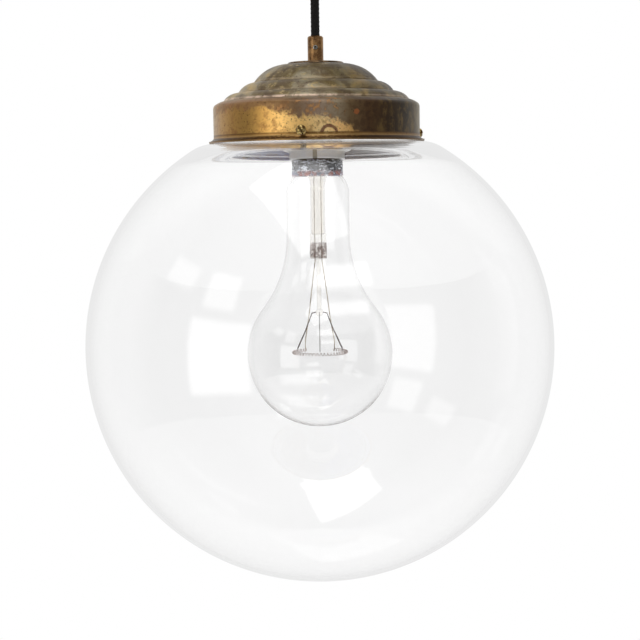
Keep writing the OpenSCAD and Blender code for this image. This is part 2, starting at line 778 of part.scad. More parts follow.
// Lead from inside the cap through the press to one end of the filament
module lead(side) {
    stop = ring_point(90 + side * (ring_start - 90 + 4), 0, 0);
    foot = [-side * lead_spread, 0, press_bottom];
    points = [[-side * lead_spread, 0, skirt_top + 4], [-side * lead_spread, 0, flare_top - 20],
        foot + [0, 0, 2], foot + [0, 0, -2], foot * 0.75 + stop * 0.25, foot * 0.4 + stop * 0.6,
        stop + [0, 0, 6], stop + [0, 0, -0.6]];
    wire(points, lead_wire, core_sides, [0.2, 1, 0]);
}

module lead_wires() {
    color("khaki") at_lamp() {
        lead(1);
        lead(-1);
    }
}

module support_wires() {
    color("gray") at_lamp() for (i = [1:support_count]) {
        angle = ring_start + (i - 0.5) * ring_sweep / support_count;
        out = [cos(angle), sin(angle), 0];
        start = out * (button_radius + 0.3) + [0, 0, button_level];
        end = ring_point(angle, 0, curl_radius + filament_wire / 2 + 0.3 + support_wire / 2);
        wire([start, start + out * 3 + [0, 0, -0.6], start * 0.5 + end * 0.5 + out * 0.8, end], support_wire, 6,
            [-out[1], out[0], 0]);
    }
}

// Centre line of the filament: a coil wound along the ring
curl_rings = 8;
curl_total = curl_count * curl_rings;
function curl(i) =
    let (turn = i * 360 / curl_rings, angle = ring_start + ring_sweep * i / curl_total)
    ring_point(angle, curl_radius * cos(turn), curl_radius * sin(turn));
function along(angle) = [-sin(angle), cos(angle), 0];
filament_points = [for (i = [0:curl_total]) curl(i)];
filament_refs = [for (i = [0:curl_total]) along(ring_start + ring_sweep * i / curl_total)];
// Least distance between two curls' wire, from points more than half a curl apart
filament_gap = min([for (i = [0:curl_rings * 3]) for (j = [i + 5:curl_rings * 5])
    norm(filament_points[i] - filament_points[j])]) - filament_wire;
echo(filament_gap = filament_gap);

module filament() {
    color("dimgray") at_lamp() wire(filament_points, filament_wire, 6, filament_refs);
}

mounting_strap();
ceiling_cup();
cup_screws();
outlet_bush();
bush_nut();
terminal_block();
block_screw();
terminal_screws();
live_feed();
neutral_feed();
swivel_washer();
ball_collar();
collar_screw();
cord();
cord_grip();
grip_screw();
top_disc();
gallery();
lock_washer();
lock_nut();
entry_bush();
holder_cap();
holder_insert();
holder_sleeve();
screw_shell();
centre_contact();
side_contact();
contact_screws();
live_core();
neutral_core();
globe();
screw_pad_1();
screw_pad_2();
screw_pad_3();
gallery_screw_1();
gallery_screw_2();
gallery_screw_3();
bulb_end_contact();
bulb_cap();
bulb_insulator();
bulb_glass();
bulb_stem();
lead_wires();
support_wires();
filament();
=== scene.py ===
import math
from functools import partial
from types import SimpleNamespace

import bpy
from mathutils import Matrix, Vector, noise


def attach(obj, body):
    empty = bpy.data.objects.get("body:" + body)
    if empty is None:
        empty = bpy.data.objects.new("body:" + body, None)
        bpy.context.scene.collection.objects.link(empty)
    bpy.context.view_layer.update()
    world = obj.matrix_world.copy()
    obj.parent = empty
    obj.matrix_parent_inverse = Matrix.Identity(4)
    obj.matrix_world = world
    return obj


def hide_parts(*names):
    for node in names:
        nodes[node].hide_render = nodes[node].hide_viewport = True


# Globe pendant light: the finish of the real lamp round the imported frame.
# Metres, +Z up, origin at the ceiling, the viewer at -Y.

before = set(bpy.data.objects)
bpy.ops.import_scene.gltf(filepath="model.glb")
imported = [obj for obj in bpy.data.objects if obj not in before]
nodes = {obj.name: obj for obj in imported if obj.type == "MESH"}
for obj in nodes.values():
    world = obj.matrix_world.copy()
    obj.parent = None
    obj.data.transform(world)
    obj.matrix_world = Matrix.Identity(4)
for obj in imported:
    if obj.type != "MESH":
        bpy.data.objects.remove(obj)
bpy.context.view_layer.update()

MM = 0.001
GLOBE_LEVEL = -286.376  # height of the globe's centre, in mm, as all sizes below
LAMP = Matrix.Translation((0, 0, GLOBE_LEVEL))
LYING = Matrix.Rotation(math.radians(90), 4, "Y")  # turns local z to +X

# ---- camera

SENSOR_WIDTH = 36
PHOTO_FOCAL = 93
CAMERA_PLACE = (0.3, -1063, GLOBE_LEVEL + 105)
CAMERA_PITCH = 4.72
CAMERA_ROLL = -0.86

camera = bpy.data.objects.new("camera", bpy.data.cameras.new("camera"))
camera.data.sensor_width = SENSOR_WIDTH
camera.data.lens = PHOTO_FOCAL
camera.matrix_world = (
    Matrix.Translation(Vector(CAMERA_PLACE) * MM)
    @ Matrix.Rotation(math.radians(90 - CAMERA_PITCH), 4, "X")
    @ Matrix.Rotation(math.radians(CAMERA_ROLL), 4, "Z")
)
bpy.context.scene.collection.objects.link(camera)
bpy.context.scene.camera = camera

# ---- meshes


def add_mesh(name, points, faces, smooth=True):
    """A mesh object from points in millimetres."""
    mesh = bpy.data.meshes.new(name)
    mesh.from_pydata([[c * MM for c in p] for p in points], [], faces)
    mesh.polygons.foreach_set("use_smooth", [smooth] * len(mesh.polygons))
    mesh.update()
    piece = bpy.data.objects.new(name, mesh)
    bpy.context.scene.collection.objects.link(piece)
    return piece


def arc(centre, radius, start, stop, steps):
    """Points along an arc, from angle start to angle stop in degrees."""
    turns = [math.radians(start + (stop - start) * i / steps) for i in range(steps + 1)]
    return [(centre[0] + radius * math.cos(a), centre[1] + radius * math.sin(a)) for a in turns]


def swell(p, q, height, steps):
    """Points from p to q on an arc that swells by height to the left of that line."""
    chord = math.dist(p, q)
    radius = (chord * chord / 4 + height * height) / (2 * height)
    half = math.degrees(math.asin(chord / 2 / radius))
    side = ((p[1] - q[1]) / chord, (q[0] - p[0]) / chord)
    centre = [(p[k] + q[k]) / 2 + side[k] * (height - radius) for k in (0, 1)]
    start = math.degrees(math.atan2(p[1] - centre[1], p[0] - centre[0]))
    return arc(centre, abs(radius), start, start - 2 * half, steps)


def straight(p, q, steps):
    """Points from p to q on a straight line."""
    return [tuple(p[k] + (q[k] - p[k]) * i / steps for k in (0, 1)) for i in range(steps + 1)]


def turned(name, outline, segments, place=LAMP, shape=None):
    """A blown, spun or turned piece: outline gives (radius, height) points, from axis to axis or
    closed. shape(radius, angle, height) gives the radius and height of a point on a form that
    isn't plainly round."""
    points, rings = [], []
    for radius, height in outline:
        first = len(points)
        if radius < 1e-6:
            rings.append([first])
            points.append((0, 0, height))
            continue
        rings.append(list(range(first, first + segments)))
        for k in range(segments):
            a = 2 * math.pi * k / segments
            r, h = shape(radius, a, height) if shape else (radius, height)
            points.append((r * math.cos(a), r * math.sin(a), h))
    faces = []
    pairs = list(zip(rings, rings[1:]))
    if len(rings[0]) > 1 and len(rings[-1]) > 1:
        pairs.append((rings[-1], rings[0]))
    for low, high in pairs:
        for k in range(segments):
            n = (k + 1) % segments
            if len(low) == 1:
                faces.append((low[0], high[n], high[k]))
            elif len(high) == 1:
                faces.append((low[k], low[n], high[0]))
            else:
                faces.append((low[k], low[n], high[n], high[k]))
    return add_mesh(name, [place @ Vector(p) for p in points], faces)


def dress(piece, body, node):
    """The piece rides on the body and stands for the CAD node, which it hides."""
    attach(piece, body)
    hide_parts(node)


# ---- braided cord

CORD_POINTS = [(0, 0, -z) for z in (24, 36, 48, 60, 72, 84, 98, 112, 124)]
CORD_DIAMETER = 5.7
CORD_LENGTH = 100
CARRIERS = 16  # yarns in the braid, half of them wound each way
BRAID_PITCH = 22  # length in which a yarn goes once round
YARN_WIDTH = 2.0
YARN_HEIGHT = 0.5
YARN_LIFT = 0.24  # share of its height that a yarn rises by over another, and dips by under it
YARN_CURVE = 0.12  # how much lower a yarn's edges lie than its middle
YARN_CORNERS = 8
CROSSING_STEPS = 8  # rows of points from one crossing to the next
SHEATH_SIDES = 32


def braid():
    """Flat yarns that pass over and under each other round a black inner sheath."""
    top, bottom = CORD_POINTS[0][2], CORD_POINTS[-1][2]
    middle = CORD_DIAMETER / 2 - YARN_HEIGHT * 0.75
    each_way = CARRIERS // 2
    weave = BRAID_PITCH / each_way
    steps = int(CORD_LENGTH / weave * CROSSING_STEPS)
    slope = math.atan2(2 * math.pi * middle, BRAID_PITCH)
    points, faces = [], []
    for k in range(CARRIERS):
        way = 1 if k % 2 else -1
        start = len(points)
        for i in range(steps + 1):
            run = CORD_LENGTH * i / steps
            turn = 2 * math.pi * (k // 2 / each_way + way * run / BRAID_PITCH)
            lift = way * YARN_LIFT * YARN_HEIGHT * math.cos(2 * math.pi * run / weave)
            for c in range(YARN_CORNERS):
                a = 2 * math.pi * c / YARN_CORNERS
                across = YARN_WIDTH / 2 * math.cos(a)
                dip = YARN_CURVE * (across / YARN_WIDTH * 2) ** 2
                out = middle + lift + YARN_HEIGHT / 2 * math.sin(a) - dip
                angle = turn + way * across * math.cos(slope) / middle
                height = min(top, max(bottom, top - run + across * math.sin(slope)))
                points.append((out * math.cos(angle), out * math.sin(angle), height))
        for i in range(steps):
            for c in range(YARN_CORNERS):
                n = (c + 1) % YARN_CORNERS
                a, b = start + i * YARN_CORNERS, start + (i + 1) * YARN_CORNERS
                faces.append((a + c, a + n, b + n, b + c))
        last = start + steps * YARN_CORNERS
        faces.append(tuple(start + c for c in range(YARN_CORNERS - 1, -1, -1)))
        faces.append(tuple(last + c for c in range(YARN_CORNERS)))
    sheath = middle - YARN_HEIGHT * 0.1
    start = len(points)
    for z in (top, bottom):
        for k in range(SHEATH_SIDES):
            a = 2 * math.pi * k / SHEATH_SIDES
            points.append((sheath * math.cos(a), sheath * math.sin(a), z))
    end = start + SHEATH_SIDES
    for k in range(SHEATH_SIDES):
        n = (k + 1) % SHEATH_SIDES
        faces.append((start + n, start + k, end + k, end + n))
    faces.append(tuple(start + k for k in range(SHEATH_SIDES)))
    faces.append(tuple(end + k for k in range(SHEATH_SIDES - 1, -1, -1)))
    return add_mesh("braided_cord", points, faces)


braided_cord = braid()
dress(braided_cord, "pendant", "cord")

# ---- glass

GLOBE_RADIUS = 150
GLASS_WALL = 2.5
SHOULDER_RADIUS = 26
NECK_RADIUS = 60
NECK_INSIDE = NECK_RADIUS - GLASS_WALL
NECK_FILLET = 4
INNER_FILLET = 1.5
SHOULDER_REACH = NECK_RADIUS + 6
SHOULDER_CENTRE = math.sqrt((GLOBE_RADIUS - SHOULDER_RADIUS) ** 2 - SHOULDER_REACH**2)
SHOULDER_ANGLE = math.degrees(math.atan2(SHOULDER_CENTRE, SHOULDER_REACH))
SHOULDER_TOP = SHOULDER_CENTRE + SHOULDER_RADIUS
FLANGE_LEVEL = SHOULDER_TOP + 0.4
SCREW_LEVEL = FLANGE_LEVEL + 5.6
LIP_LEVEL = SHOULDER_TOP + 8.25
LIP_RADIUS = 62.9
LIP_TOP = LIP_LEVEL + 4.5
LIP_EDGE = 1  # rounding of the lip below and inside
LIP_CROWN = 1.5  # rounding of its upper corner
GATHER = 1.1  # how much thicker the glass is at the shoulder
GATHER_LOW = 118
GATHER_HIGH = 128
WAVE_SPREAD = 80  # distance between the slow waves in the blown wall
WAVE_DEPTH = 0.1
WAVE_FADE = 20  # height below the shoulder's top in which they die out
WAVE_START = Vector((7.3, 1.1, 4.2))  # in the noise; the inner face has its own, twice as far out

GLOBE_BOWL = arc((0, 0), GLOBE_RADIUS, -90, SHOULDER_ANGLE, 150) + arc(
    (SHOULDER_REACH, SHOULDER_CENTRE), SHOULDER_RADIUS, SHOULDER_ANGLE, 90, 16
)[1:]


def inner_bowl():
    """The bowl's inner face: deeper by the wall and by what the shoulder gained as it was gathered
    for the neck."""
    inner = []
    after = GLOBE_BOWL[2:] + [(NECK_RADIUS, SHOULDER_TOP)]
    for (r0, h0), (r, h), (r1, h1) in zip(GLOBE_BOWL, GLOBE_BOWL[1:], after):
        share = max(0, min(1, (h - GATHER_LOW) / (GATHER_HIGH - GATHER_LOW)))
        deep = GLASS_WALL + GATHER * share**1.2
        along = math.dist((r0, h0), (r1, h1))
        inner.append((r - deep * (h1 - h0) / along, h + deep * (r1 - r0) / along))
    centre = (NECK_INSIDE + INNER_FILLET, inner[-1][1] + INNER_FILLET)
    return inner + arc(centre, INNER_FILLET, -90, -180, 4)


def blown(radius, angle, height):
    """Slow waves where the gather cooled against the mould, none at the neck."""
    reach = math.hypot(radius, height)
    place = Vector((radius * math.cos(angle), radius * math.sin(angle), height)) / WAVE_SPREAD
    inner = reach < GLOBE_RADIUS - GLASS_WALL / 2
    wave = noise.noise(place + WAVE_START * (2 if inner else 1))
    fade = max(0, min(1, (SHOULDER_TOP - height) / WAVE_FADE))
    stretch = 1 + WAVE_DEPTH * wave * fade / reach
    return radius * stretch, height * stretch


globe_outline = (
    [(0, -GLOBE_RADIUS)]
    + GLOBE_BOWL[1:]
    + arc((NECK_RADIUS + NECK_FILLET, SHOULDER_TOP + NECK_FILLET), NECK_FILLET, -90, -180, 8)
    + [(NECK_RADIUS, LIP_LEVEL - 0.8)]
    + arc((LIP_RADIUS - LIP_EDGE, LIP_LEVEL + LIP_EDGE), LIP_EDGE, -90, 0, 4)
    + arc((LIP_RADIUS - LIP_CROWN, LIP_TOP - LIP_CROWN), LIP_CROWN, 0, 90, 4)
    + arc((NECK_INSIDE + LIP_EDGE, LIP_TOP - LIP_EDGE), LIP_EDGE, 90, 180, 4)
    + inner_bowl()[::-1]
    + [(0, -GLOBE_RADIUS + GLASS_WALL)]
)
globe_glass = turned("globe_glass", globe_outline, 256, LAMP, blown)
dress(globe_glass, "pendant", "globe")

SKIRT_BOTTOM = 109.98  # of the bulb's cap, over the globe's centre
BULB_LENGTH = 161.3  # below the cap
BULB_RADIUS = 46.8
BULB_NECK = 20.3
BULB_WALL = 0.8
BULB_CENTRE = SKIRT_BOTTOM - BULB_LENGTH + BULB_RADIUS
NECK_BOTTOM = SKIRT_BOTTOM - 38
NECK_TOP = SKIRT_BOTTOM - 9.5
NECK_RISE = NECK_BOTTOM - BULB_CENTRE
FLANK_RADIUS = (NECK_RISE**2 + BULB_NECK**2 - BULB_RADIUS**2) / (2 * (BULB_RADIUS - BULB_NECK))
FLANK_REACH = BULB_NECK + FLANK_RADIUS
FLANK_ANGLE = math.degrees(math.atan2(NECK_RISE, FLANK_REACH))
SEAL_RADIUS = 15.8
SEAL_TOP = SKIRT_BOTTOM + 12
PINCH_LEVEL = SKIRT_BOTTOM - 2
PINCH_REACH = 8
PINCH_DEPTH = 0.35
PUCKERS = 5  # how closely they follow each other round the neck
SEAL_CURVE = 0.8  # how far the glass draws in below the cap


def bulb_face(inset):
    """The bulb's pear shape from its lowest point up, inset from its outer face."""
    flank = arc((FLANK_REACH, NECK_BOTTOM), FLANK_RADIUS + inset, 180 + FLANK_ANGLE, 180, 24)
    return (
        arc((0, BULB_CENTRE), BULB_RADIUS - inset, -90, FLANK_ANGLE, 80)
        + flank[1:]
        + swell((BULB_NECK - inset, NECK_TOP), (SEAL_RADIUS - inset, SKIRT_BOTTOM), -SEAL_CURVE, 12)
        + [(SEAL_RADIUS - inset, SEAL_TOP)]
    )


def sealed(radius, angle, height):
    """The neck's glass is puckered where it was pinched on to the cap."""
    pinch = max(0, 1 - abs(height - PINCH_LEVEL) / PINCH_REACH)
    place = Vector((math.cos(angle) * PUCKERS, math.sin(angle) * PUCKERS, height / 5))
    return radius - PINCH_DEPTH * pinch * (0.5 + noise.noise(place)), height


bulb_outline = (
    [(0, BULB_CENTRE - BULB_RADIUS)]
    + bulb_face(0)[1:]
    + bulb_face(BULB_WALL)[:0:-1]
    + [(0, BULB_CENTRE - BULB_RADIUS + BULB_WALL)]
)
bulb_glass = turned("bulb_envelope", bulb_outline, 160, LAMP, sealed)
dress(bulb_glass, "bulb", "bulb_glass")

# ---- bulb cap

SKIRT_RADIUS = 16.5
SKIRT_TOP = SKIRT_BOTTOM + 17
SKIRT_SHOULDER = 1.5  # rounding of its upper edge
THREAD_TOP = SKIRT_TOP + 20
THREAD_RADIUS = 13
THREAD_DEPTH = 0.85
THREAD_PITCH = 3.628
INSULATOR_RADIUS = 10.6
CAP_WALL = 0.5
CAP_BEVEL = 0.8
CRUMPLE_DEPTH = 0.75
CRUMPLES = 6.5  # how closely the facets follow each other round the skirt
CRUMPLE_HEIGHT = 3.2
SMALL_CRUMPLES = 2.3  # times as close as the others


def rolled_thread(height, angle, bottom, top, pitch, depth):
    """How far a rolled right-hand thread sinks in: none at its two ends."""
    fade = max(0, min(1, (height - bottom) / pitch, (top - height) / pitch))
    return depth * fade * (1 - math.cos(2 * math.pi * height / pitch - angle)) / 2


def crimped(radius, angle, height):
    """Thread above; on the skirt, crumpled facets pressed in as the cap was crimped on to the
    glass."""
    if height > SKIRT_TOP:
        sunk = rolled_thread(height, angle, SKIRT_TOP, THREAD_TOP, THREAD_PITCH, THREAD_DEPTH)
        return radius - sunk, height
    fade = max(0, min(1, (SKIRT_TOP - 2 - height) / 2, (height - SKIRT_BOTTOM) / 1.5))
    around = (math.cos(angle) * CRUMPLES, math.sin(angle) * CRUMPLES)
    place = Vector((*around, height / CRUMPLE_HEIGHT))
    folds = abs(noise.noise(place)) + 0.5 * abs(noise.noise(place * SMALL_CRUMPLES))
    return radius - CRUMPLE_DEPTH * fade * folds, height


def cap_face(inset):
    """The cap from its lower edge up to the insulator, inset from its outer face."""
    skirt, thread = SKIRT_RADIUS - inset, THREAD_RADIUS - inset
    shoulder = (SKIRT_RADIUS - SKIRT_SHOULDER, SKIRT_TOP - SKIRT_SHOULDER)
    return (
        [(skirt + 0.4, SKIRT_BOTTOM)]
        + straight((skirt, SKIRT_BOTTOM + CAP_BEVEL), (skirt, SKIRT_TOP - SKIRT_SHOULDER), 40)
        + arc(shoulder, SKIRT_SHOULDER - inset, 20, 90, 4)
        + straight((thread, SKIRT_TOP - inset), (thread, THREAD_TOP - CAP_BEVEL), 66)
        + [(thread - CAP_BEVEL, THREAD_TOP - inset), (INSULATOR_RADIUS, THREAD_TOP - inset)]
    )


cap_outline = cap_face(0) + cap_face(CAP_WALL)[::-1]
cap_shell = turned("crimped_cap", cap_outline, 192, LAMP, crimped)
dress(cap_shell, "bulb", "bulb_cap")

# ---- screws

SCREW_START = -97.3  # direction of the first gallery screw, from +X
SCREW_RADIUS = 1.95
SCREW_TIP = 61.53  # from the lamp's axis
SCREW_HEAD_START = 71.8
SCREW_HEAD_RADIUS = 3.05
SCREW_HEAD = 3.4
SCREW_EDGE = 0.35  # bevel of its tip and of its head's rim
SCREW_PITCH = 0.7
SCREW_THREAD = 0.3
SCREW_SLOT = 1.1
SLOT_DEPTH = 1.9


def outward(direction, level):
    """Local z along the lamp's radius in that direction, at that level above the globe's centre."""
    turn = Matrix.Rotation(math.radians(direction), 4, "Z")
    return LAMP @ turn @ Matrix.Translation((0, 0, level)) @ LYING


def cut(piece, cutter):
    """Takes the cutter's form out of the piece."""
    knife = piece.modifiers.new("slot", "BOOLEAN")
    knife.operation = "DIFFERENCE"
    knife.object = cutter
    bpy.context.view_layer.update()
    graph = bpy.context.evaluated_depsgraph_get()
    piece.data = bpy.data.meshes.new_from_object(piece.evaluated_get(graph))
    piece.data.name = piece.name
    piece.modifiers.clear()
    bpy.data.objects.remove(cutter)


def slotted_screw(number, roll):
    """Brass screw with a rolled thread and a slot sawn in its round head; roll turns the slot."""
    thread_end = SCREW_HEAD_START - 0.3

    def threaded(radius, angle, height):
        if radius < SCREW_RADIUS * 0.8 or height > SCREW_HEAD_START - 0.2:
            return radius, height
        sunk = rolled_thread(height, angle, SCREW_TIP, thread_end, SCREW_PITCH, SCREW_THREAD)
        return radius - sunk, height

    rise = SCREW_HEAD / 2
    ball = (SCREW_HEAD_RADIUS**2 + rise**2) / (2 * rise)
    crown = SCREW_HEAD_START + SCREW_HEAD
    edge = math.degrees(math.acos(SCREW_HEAD_RADIUS / ball))
    shank = (SCREW_RADIUS, SCREW_TIP + SCREW_EDGE), (SCREW_RADIUS, SCREW_HEAD_START)
    outline = (
        [(0, SCREW_TIP), (SCREW_RADIUS * 0.7, SCREW_TIP)]
        + straight(*shank, 120)
        + [(SCREW_HEAD_RADIUS - SCREW_EDGE, SCREW_HEAD_START)]
        + [(SCREW_HEAD_RADIUS, SCREW_HEAD_START + SCREW_EDGE)]
        + arc((0, crown - ball), ball, edge, 90, 8)[:-1]
        + [(0, crown)]
    )
    name = "round_head_screw_%d" % number
    place = outward(SCREW_START + 120 * (number - 1), SCREW_LEVEL)
    screw = turned(name, outline, 64, place, threaded)
    blade = Matrix.Rotation(math.radians(roll), 4, "Z")
    half, reach = SCREW_SLOT / 2, SCREW_HEAD_RADIUS + 1
    heights = (crown - SLOT_DEPTH, crown + 1)
    corners = [(x, y, z) for z in heights for y in (-reach, reach) for x in (-half, half)]
    sides = [(0, 2, 3, 1), (4, 5, 7, 6), (0, 1, 5, 4), (2, 6, 7, 3), (0, 4, 6, 2), (1, 3, 7, 5)]
    cut(screw, add_mesh("blade", [place @ blade @ Vector(c) for c in corners], sides, False))
    dress(screw, "screw_%d" % number, "gallery_screw_%d" % number)
    return screw


# the slot stands aslant on the screw that the viewer sees from the front
slotted_screws = [slotted_screw(i, roll) for i, roll in ((1, 118), (2, 20), (3, 75))]

PIVOT_LEVEL = -32
GRIP_TOP = FLANGE_LEVEL + 67
GRIP_RADIUS = 5
GRUB_RADIUS = 1.5
GRUB_PITCH = 0.5
GRUB_THREAD = 0.15
SOCKET_RADIUS = 0.9
SOCKET_DEPTH = 1.2
SOCKET_CONE = 0.2  # left at its bottom by the drill


def grub_screw(name, node, place, start, stop):
    """Short plated screw with a hexagonal socket; start and stop are its ends along local z."""

    def hexagonal(radius, angle, height):
        if height > stop - SOCKET_DEPTH - 0.05 and radius < SOCKET_RADIUS + 0.05:
            within = (math.degrees(angle) % 60) - 30
            return radius * math.cos(math.radians(30)) / math.cos(math.radians(within)), height
        if radius > GRUB_RADIUS - 0.1:
            sunk = rolled_thread(height, angle, start, stop, GRUB_PITCH, GRUB_THREAD)
            return radius - sunk, height
        return radius, height

    outline = (
        [(0, start), (GRUB_RADIUS - 0.3, start)]
        + straight((GRUB_RADIUS, start + 0.3), (GRUB_RADIUS, stop - 0.25), 24)
        + [(1.3, stop), (SOCKET_RADIUS, stop), (SOCKET_RADIUS, stop - SOCKET_DEPTH)]
        + [(0, stop - SOCKET_DEPTH - SOCKET_CONE)]
    )
    piece = turned(name, outline, 48, place, hexagonal)
    dress(piece, "pendant", node)
    return piece


grip_place = outward(-90, GRIP_TOP - 7.4)
grip_screw = grub_screw("grip_grub_screw", "grip_screw", grip_place, 2.9, GRIP_RADIUS + 0.1)
collar_place = Matrix.Translation((0, 0, PIVOT_LEVEL + 3.5)) @ LYING
collar_screw = grub_screw("collar_grub_screw", "collar_screw", collar_place, 3.1, 6.2)

# ---- materials


def linear(code):
    """An sRGB hex colour as linear RGBA."""
    parts = [int(code[i : i + 2], 16) / 255 for i in (1, 3, 5)]
    light = [c / 12.92 if c <= 0.04045 else ((c + 0.055) / 1.055) ** 2.4 for c in parts]
    return (*light, 1.0)


def per_mm(size):
    """A pattern's scale for coordinates in metres, from its real size in millimetres."""
    return 1 / (size * MM)


def feed(node, sockets):
    """Sets a node's inputs, or links the outputs that feed them; a colour is given as sRGB hex."""
    for name, value in sockets.items():
        if isinstance(value, bpy.types.NodeSocket):
            node.id_data.links.new(value, node.inputs[name])
        else:
            node.inputs[name].default_value = linear(value) if isinstance(value, str) else value


def add(tree, kind, *values, out=0, stops=(), **settings):
    """Adds a shader node with its settings and links. The values go to its inputs in order, or by
    name from a dict; stops are a colour ramp's, each a colour or a grey. Gives back the output
    asked for by number or name, or all of them for None."""
    node = tree.nodes.new("ShaderNode" + kind)
    for name, value in settings.items():
        setattr(node, name, value)
    for i, (at, colour) in enumerate(stops):
        element = node.color_ramp.elements[i] if i < 2 else node.color_ramp.elements.new(at)
        element.position = at
        element.color = linear(colour) if isinstance(colour, str) else (colour, colour, colour, 1)
    order = [i for i, socket in enumerate(node.inputs) if socket.enabled]
    for i, value in enumerate(values):
        feed(node, value if isinstance(value, dict) else {order[i]: value})
    found = [socket for socket in node.outputs if socket.enabled]
    return found if out is None else node.outputs[out] if isinstance(out, str) else found[out]


SMOOTH = {"interpolation_type": "SMOOTHSTEP"}
COLOUR = {"data_type": "RGBA"}
TIMES = {"operation": "MULTIPLY"}
TIMES_PLUS = {"operation": "MULTIPLY_ADD"}
DEGREES = 180 / math.pi  # in a radian


def surface(name):
    """A new material: what adds nodes to it, its Principled node and where each point is on the
    object."""
    material = bpy.data.materials.new(name)
    material.use_nodes = True
    put = partial(add, material.node_tree)
    shader = material.node_tree.nodes["Principled BSDF"]
    return material, put, shader, put("TexCoord", out="Object")


GALLERY_RADIUS = 66
GALLERY_WALL = 25  # height of its wall, from the flange to the steps


def gallery_places(put, place):
    """Where each point of the gallery is, and the patterns of its oxide: clouds of 30 mm, blotches
    of 9 mm, a mottle of 3.6 mm and specks of 1.3 mm."""
    at = SimpleNamespace(place=place)
    at.x, at.y, z = put("SeparateXYZ", place, out=None)
    turn = put("Math", at.x, put("Math", at.y, -1, **TIMES), operation="ARCTAN2")
    at.around = put("Math", turn, DEGREES, **TIMES)  # from the front
    reach = put("VectorMath", put("CombineXYZ", at.x, at.y), operation="LENGTH", out="Value")
    side = put("Math", put("Math", at.x, reach, operation="DIVIDE"), operation="ARCSINE")
    at.side = put("Math", side, DEGREES, **TIMES)  # degrees to the right, with no seam behind
    at.across = put("MapRange", at.side, -90, 90)  # the same as a share, from left to right
    above_flange = -(GLOBE_LEVEL + FLANGE_LEVEL)
    at.high = put("Math", z, 1 / MM, above_flange, **TIMES_PLUS)
    at.out = put("Math", reach, 1 / MM, **TIMES)
    at.clouds, at.blotches, at.mottle, at.specks = (
        put(
            "TexNoise",
            {"Vector": place, "Scale": per_mm(size)},
            {"Detail": fine, "Roughness": r, "Distortion": warp},
        )
        for size, fine, r, warp in (
            (30, 4, 0.55, 0.5),
            (9, 6, 0.62, 0.6),
            (3.6, 4, 0.6, 0.3),
            (1.3, 3, 0.6, 0.0),
        )
    )
    return at


def gallery_oxide(put, at):
    """Violet-grey and olive on the steps and the dome under painted light, brightest just left of
    the front and darker to the right; brown on the wall, darkest at the right, with painted
    highlight streaks on its right third and a painted reflection at its far right.
    """
    oxide = put(
        "ValToRGB",
        at.clouds,
        stops=[(0.36, "#4A3A22"), (0.44, "#7E6F4A"), (0.53, "#9A937F"), (0.64, "#CAB27A")],
    )
    brown = put("MapRange", at.blotches, 0.48, 0.62, 0, 0.6, **SMOOTH)
    gilt = put("MapRange", at.mottle, 0.5, 0.66, **SMOOTH)
    gilt = put("Math", gilt, put("MapRange", at.blotches, 0.54, 0.4, **SMOOTH), **TIMES)
    pale = put("MapRange", at.specks, 0.6, 0.72, 0, 0.5, **SMOOTH)
    for share, tint in ((brown, "#62503C"), (gilt, "#B8A270"), (pale, "#CFC0A0")):
        oxide = put("Mix", share, oxide, tint, **COLOUR)
    # painted light and shade: the oxide is made brightest just left of the front and darker towards
    # the right, as if lit from the left
    painted_light_across = put(
        "ValToRGB",
        at.across,
        stops=[
            (0.05, "#D8D4CC"), (0.25, "#E0D8CC"), (0.42, "#FFFFFF"), (0.52, "#F0EAE0"),
            (0.62, "#BDB49A"), (0.72, "#9A8E70"), (0.95, "#A8A08C"),
        ],
    )
    oxide = put("Mix", 1.0, oxide, painted_light_across, blend_type="MULTIPLY", **COLOUR)

    # the last two stops, lighter again at the far right edge, are a painted reflection
    bare = put(
        "ValToRGB",
        at.across,
        stops=[
            (0.04, "#B5A080"), (0.12, "#90704A"), (0.24, "#86623A"), (0.34, "#8E6C42"),
            (0.4, "#84643F"), (0.44, "#6E563C"), (0.5, "#8A7664"), (0.56, "#80725C"),
            (0.6, "#5E4A2E"), (0.66, "#442C12"), (0.74, "#362408"), (0.82, "#281D08"),
            (0.88, "#463A20"), (0.94, "#807860"),
        ],
    )
    dusty = put("MapRange", at.mottle, 0.42, 0.62, 0, 0.55, **SMOOTH)
    bare = put("Mix", dusty, bare, "#7E6C58", blend_type="SOFT_LIGHT", **COLOUR)
    rust = put("MapRange", at.mottle, 0.52, 0.66, **SMOOTH)
    rust = put("Math", rust, put("MapRange", at.clouds, 0.42, 0.56, **SMOOTH), **TIMES)
    rust = put("Math", rust, put("MapRange", at.side, 24, 8, **SMOOTH), **TIMES)
    bare = put("Mix", put("Math", rust, 0.7, **TIMES), bare, "#B4824E", **COLOUR)
    # painted highlights: olive-gold streaks drawn out upright on the wall, 24 to 40 degrees right
    # of the front
    drawn = put("Mapping", at.place, (0, 0, 0), (0, 0, 0), (1, 1, 0.6))
    streaks = put("TexNoise", {"Vector": drawn, "Scale": per_mm(6), "Detail": 6, "Roughness": 0.7})
    olive = put("MapRange", streaks, 0.44, 0.68, 0, 0.5, **SMOOTH)
    olive = put("Math", olive, put("MapRange", at.side, 24, 40, **SMOOTH), **TIMES)
    bare = put("Mix", olive, bare, "#7A6232", **COLOUR)
    on_wall = put("MapRange", at.high, GALLERY_WALL + 2.2, GALLERY_WALL - 0.5, **SMOOTH)
    return put("Mix", on_wall, oxide, bare, **COLOUR)


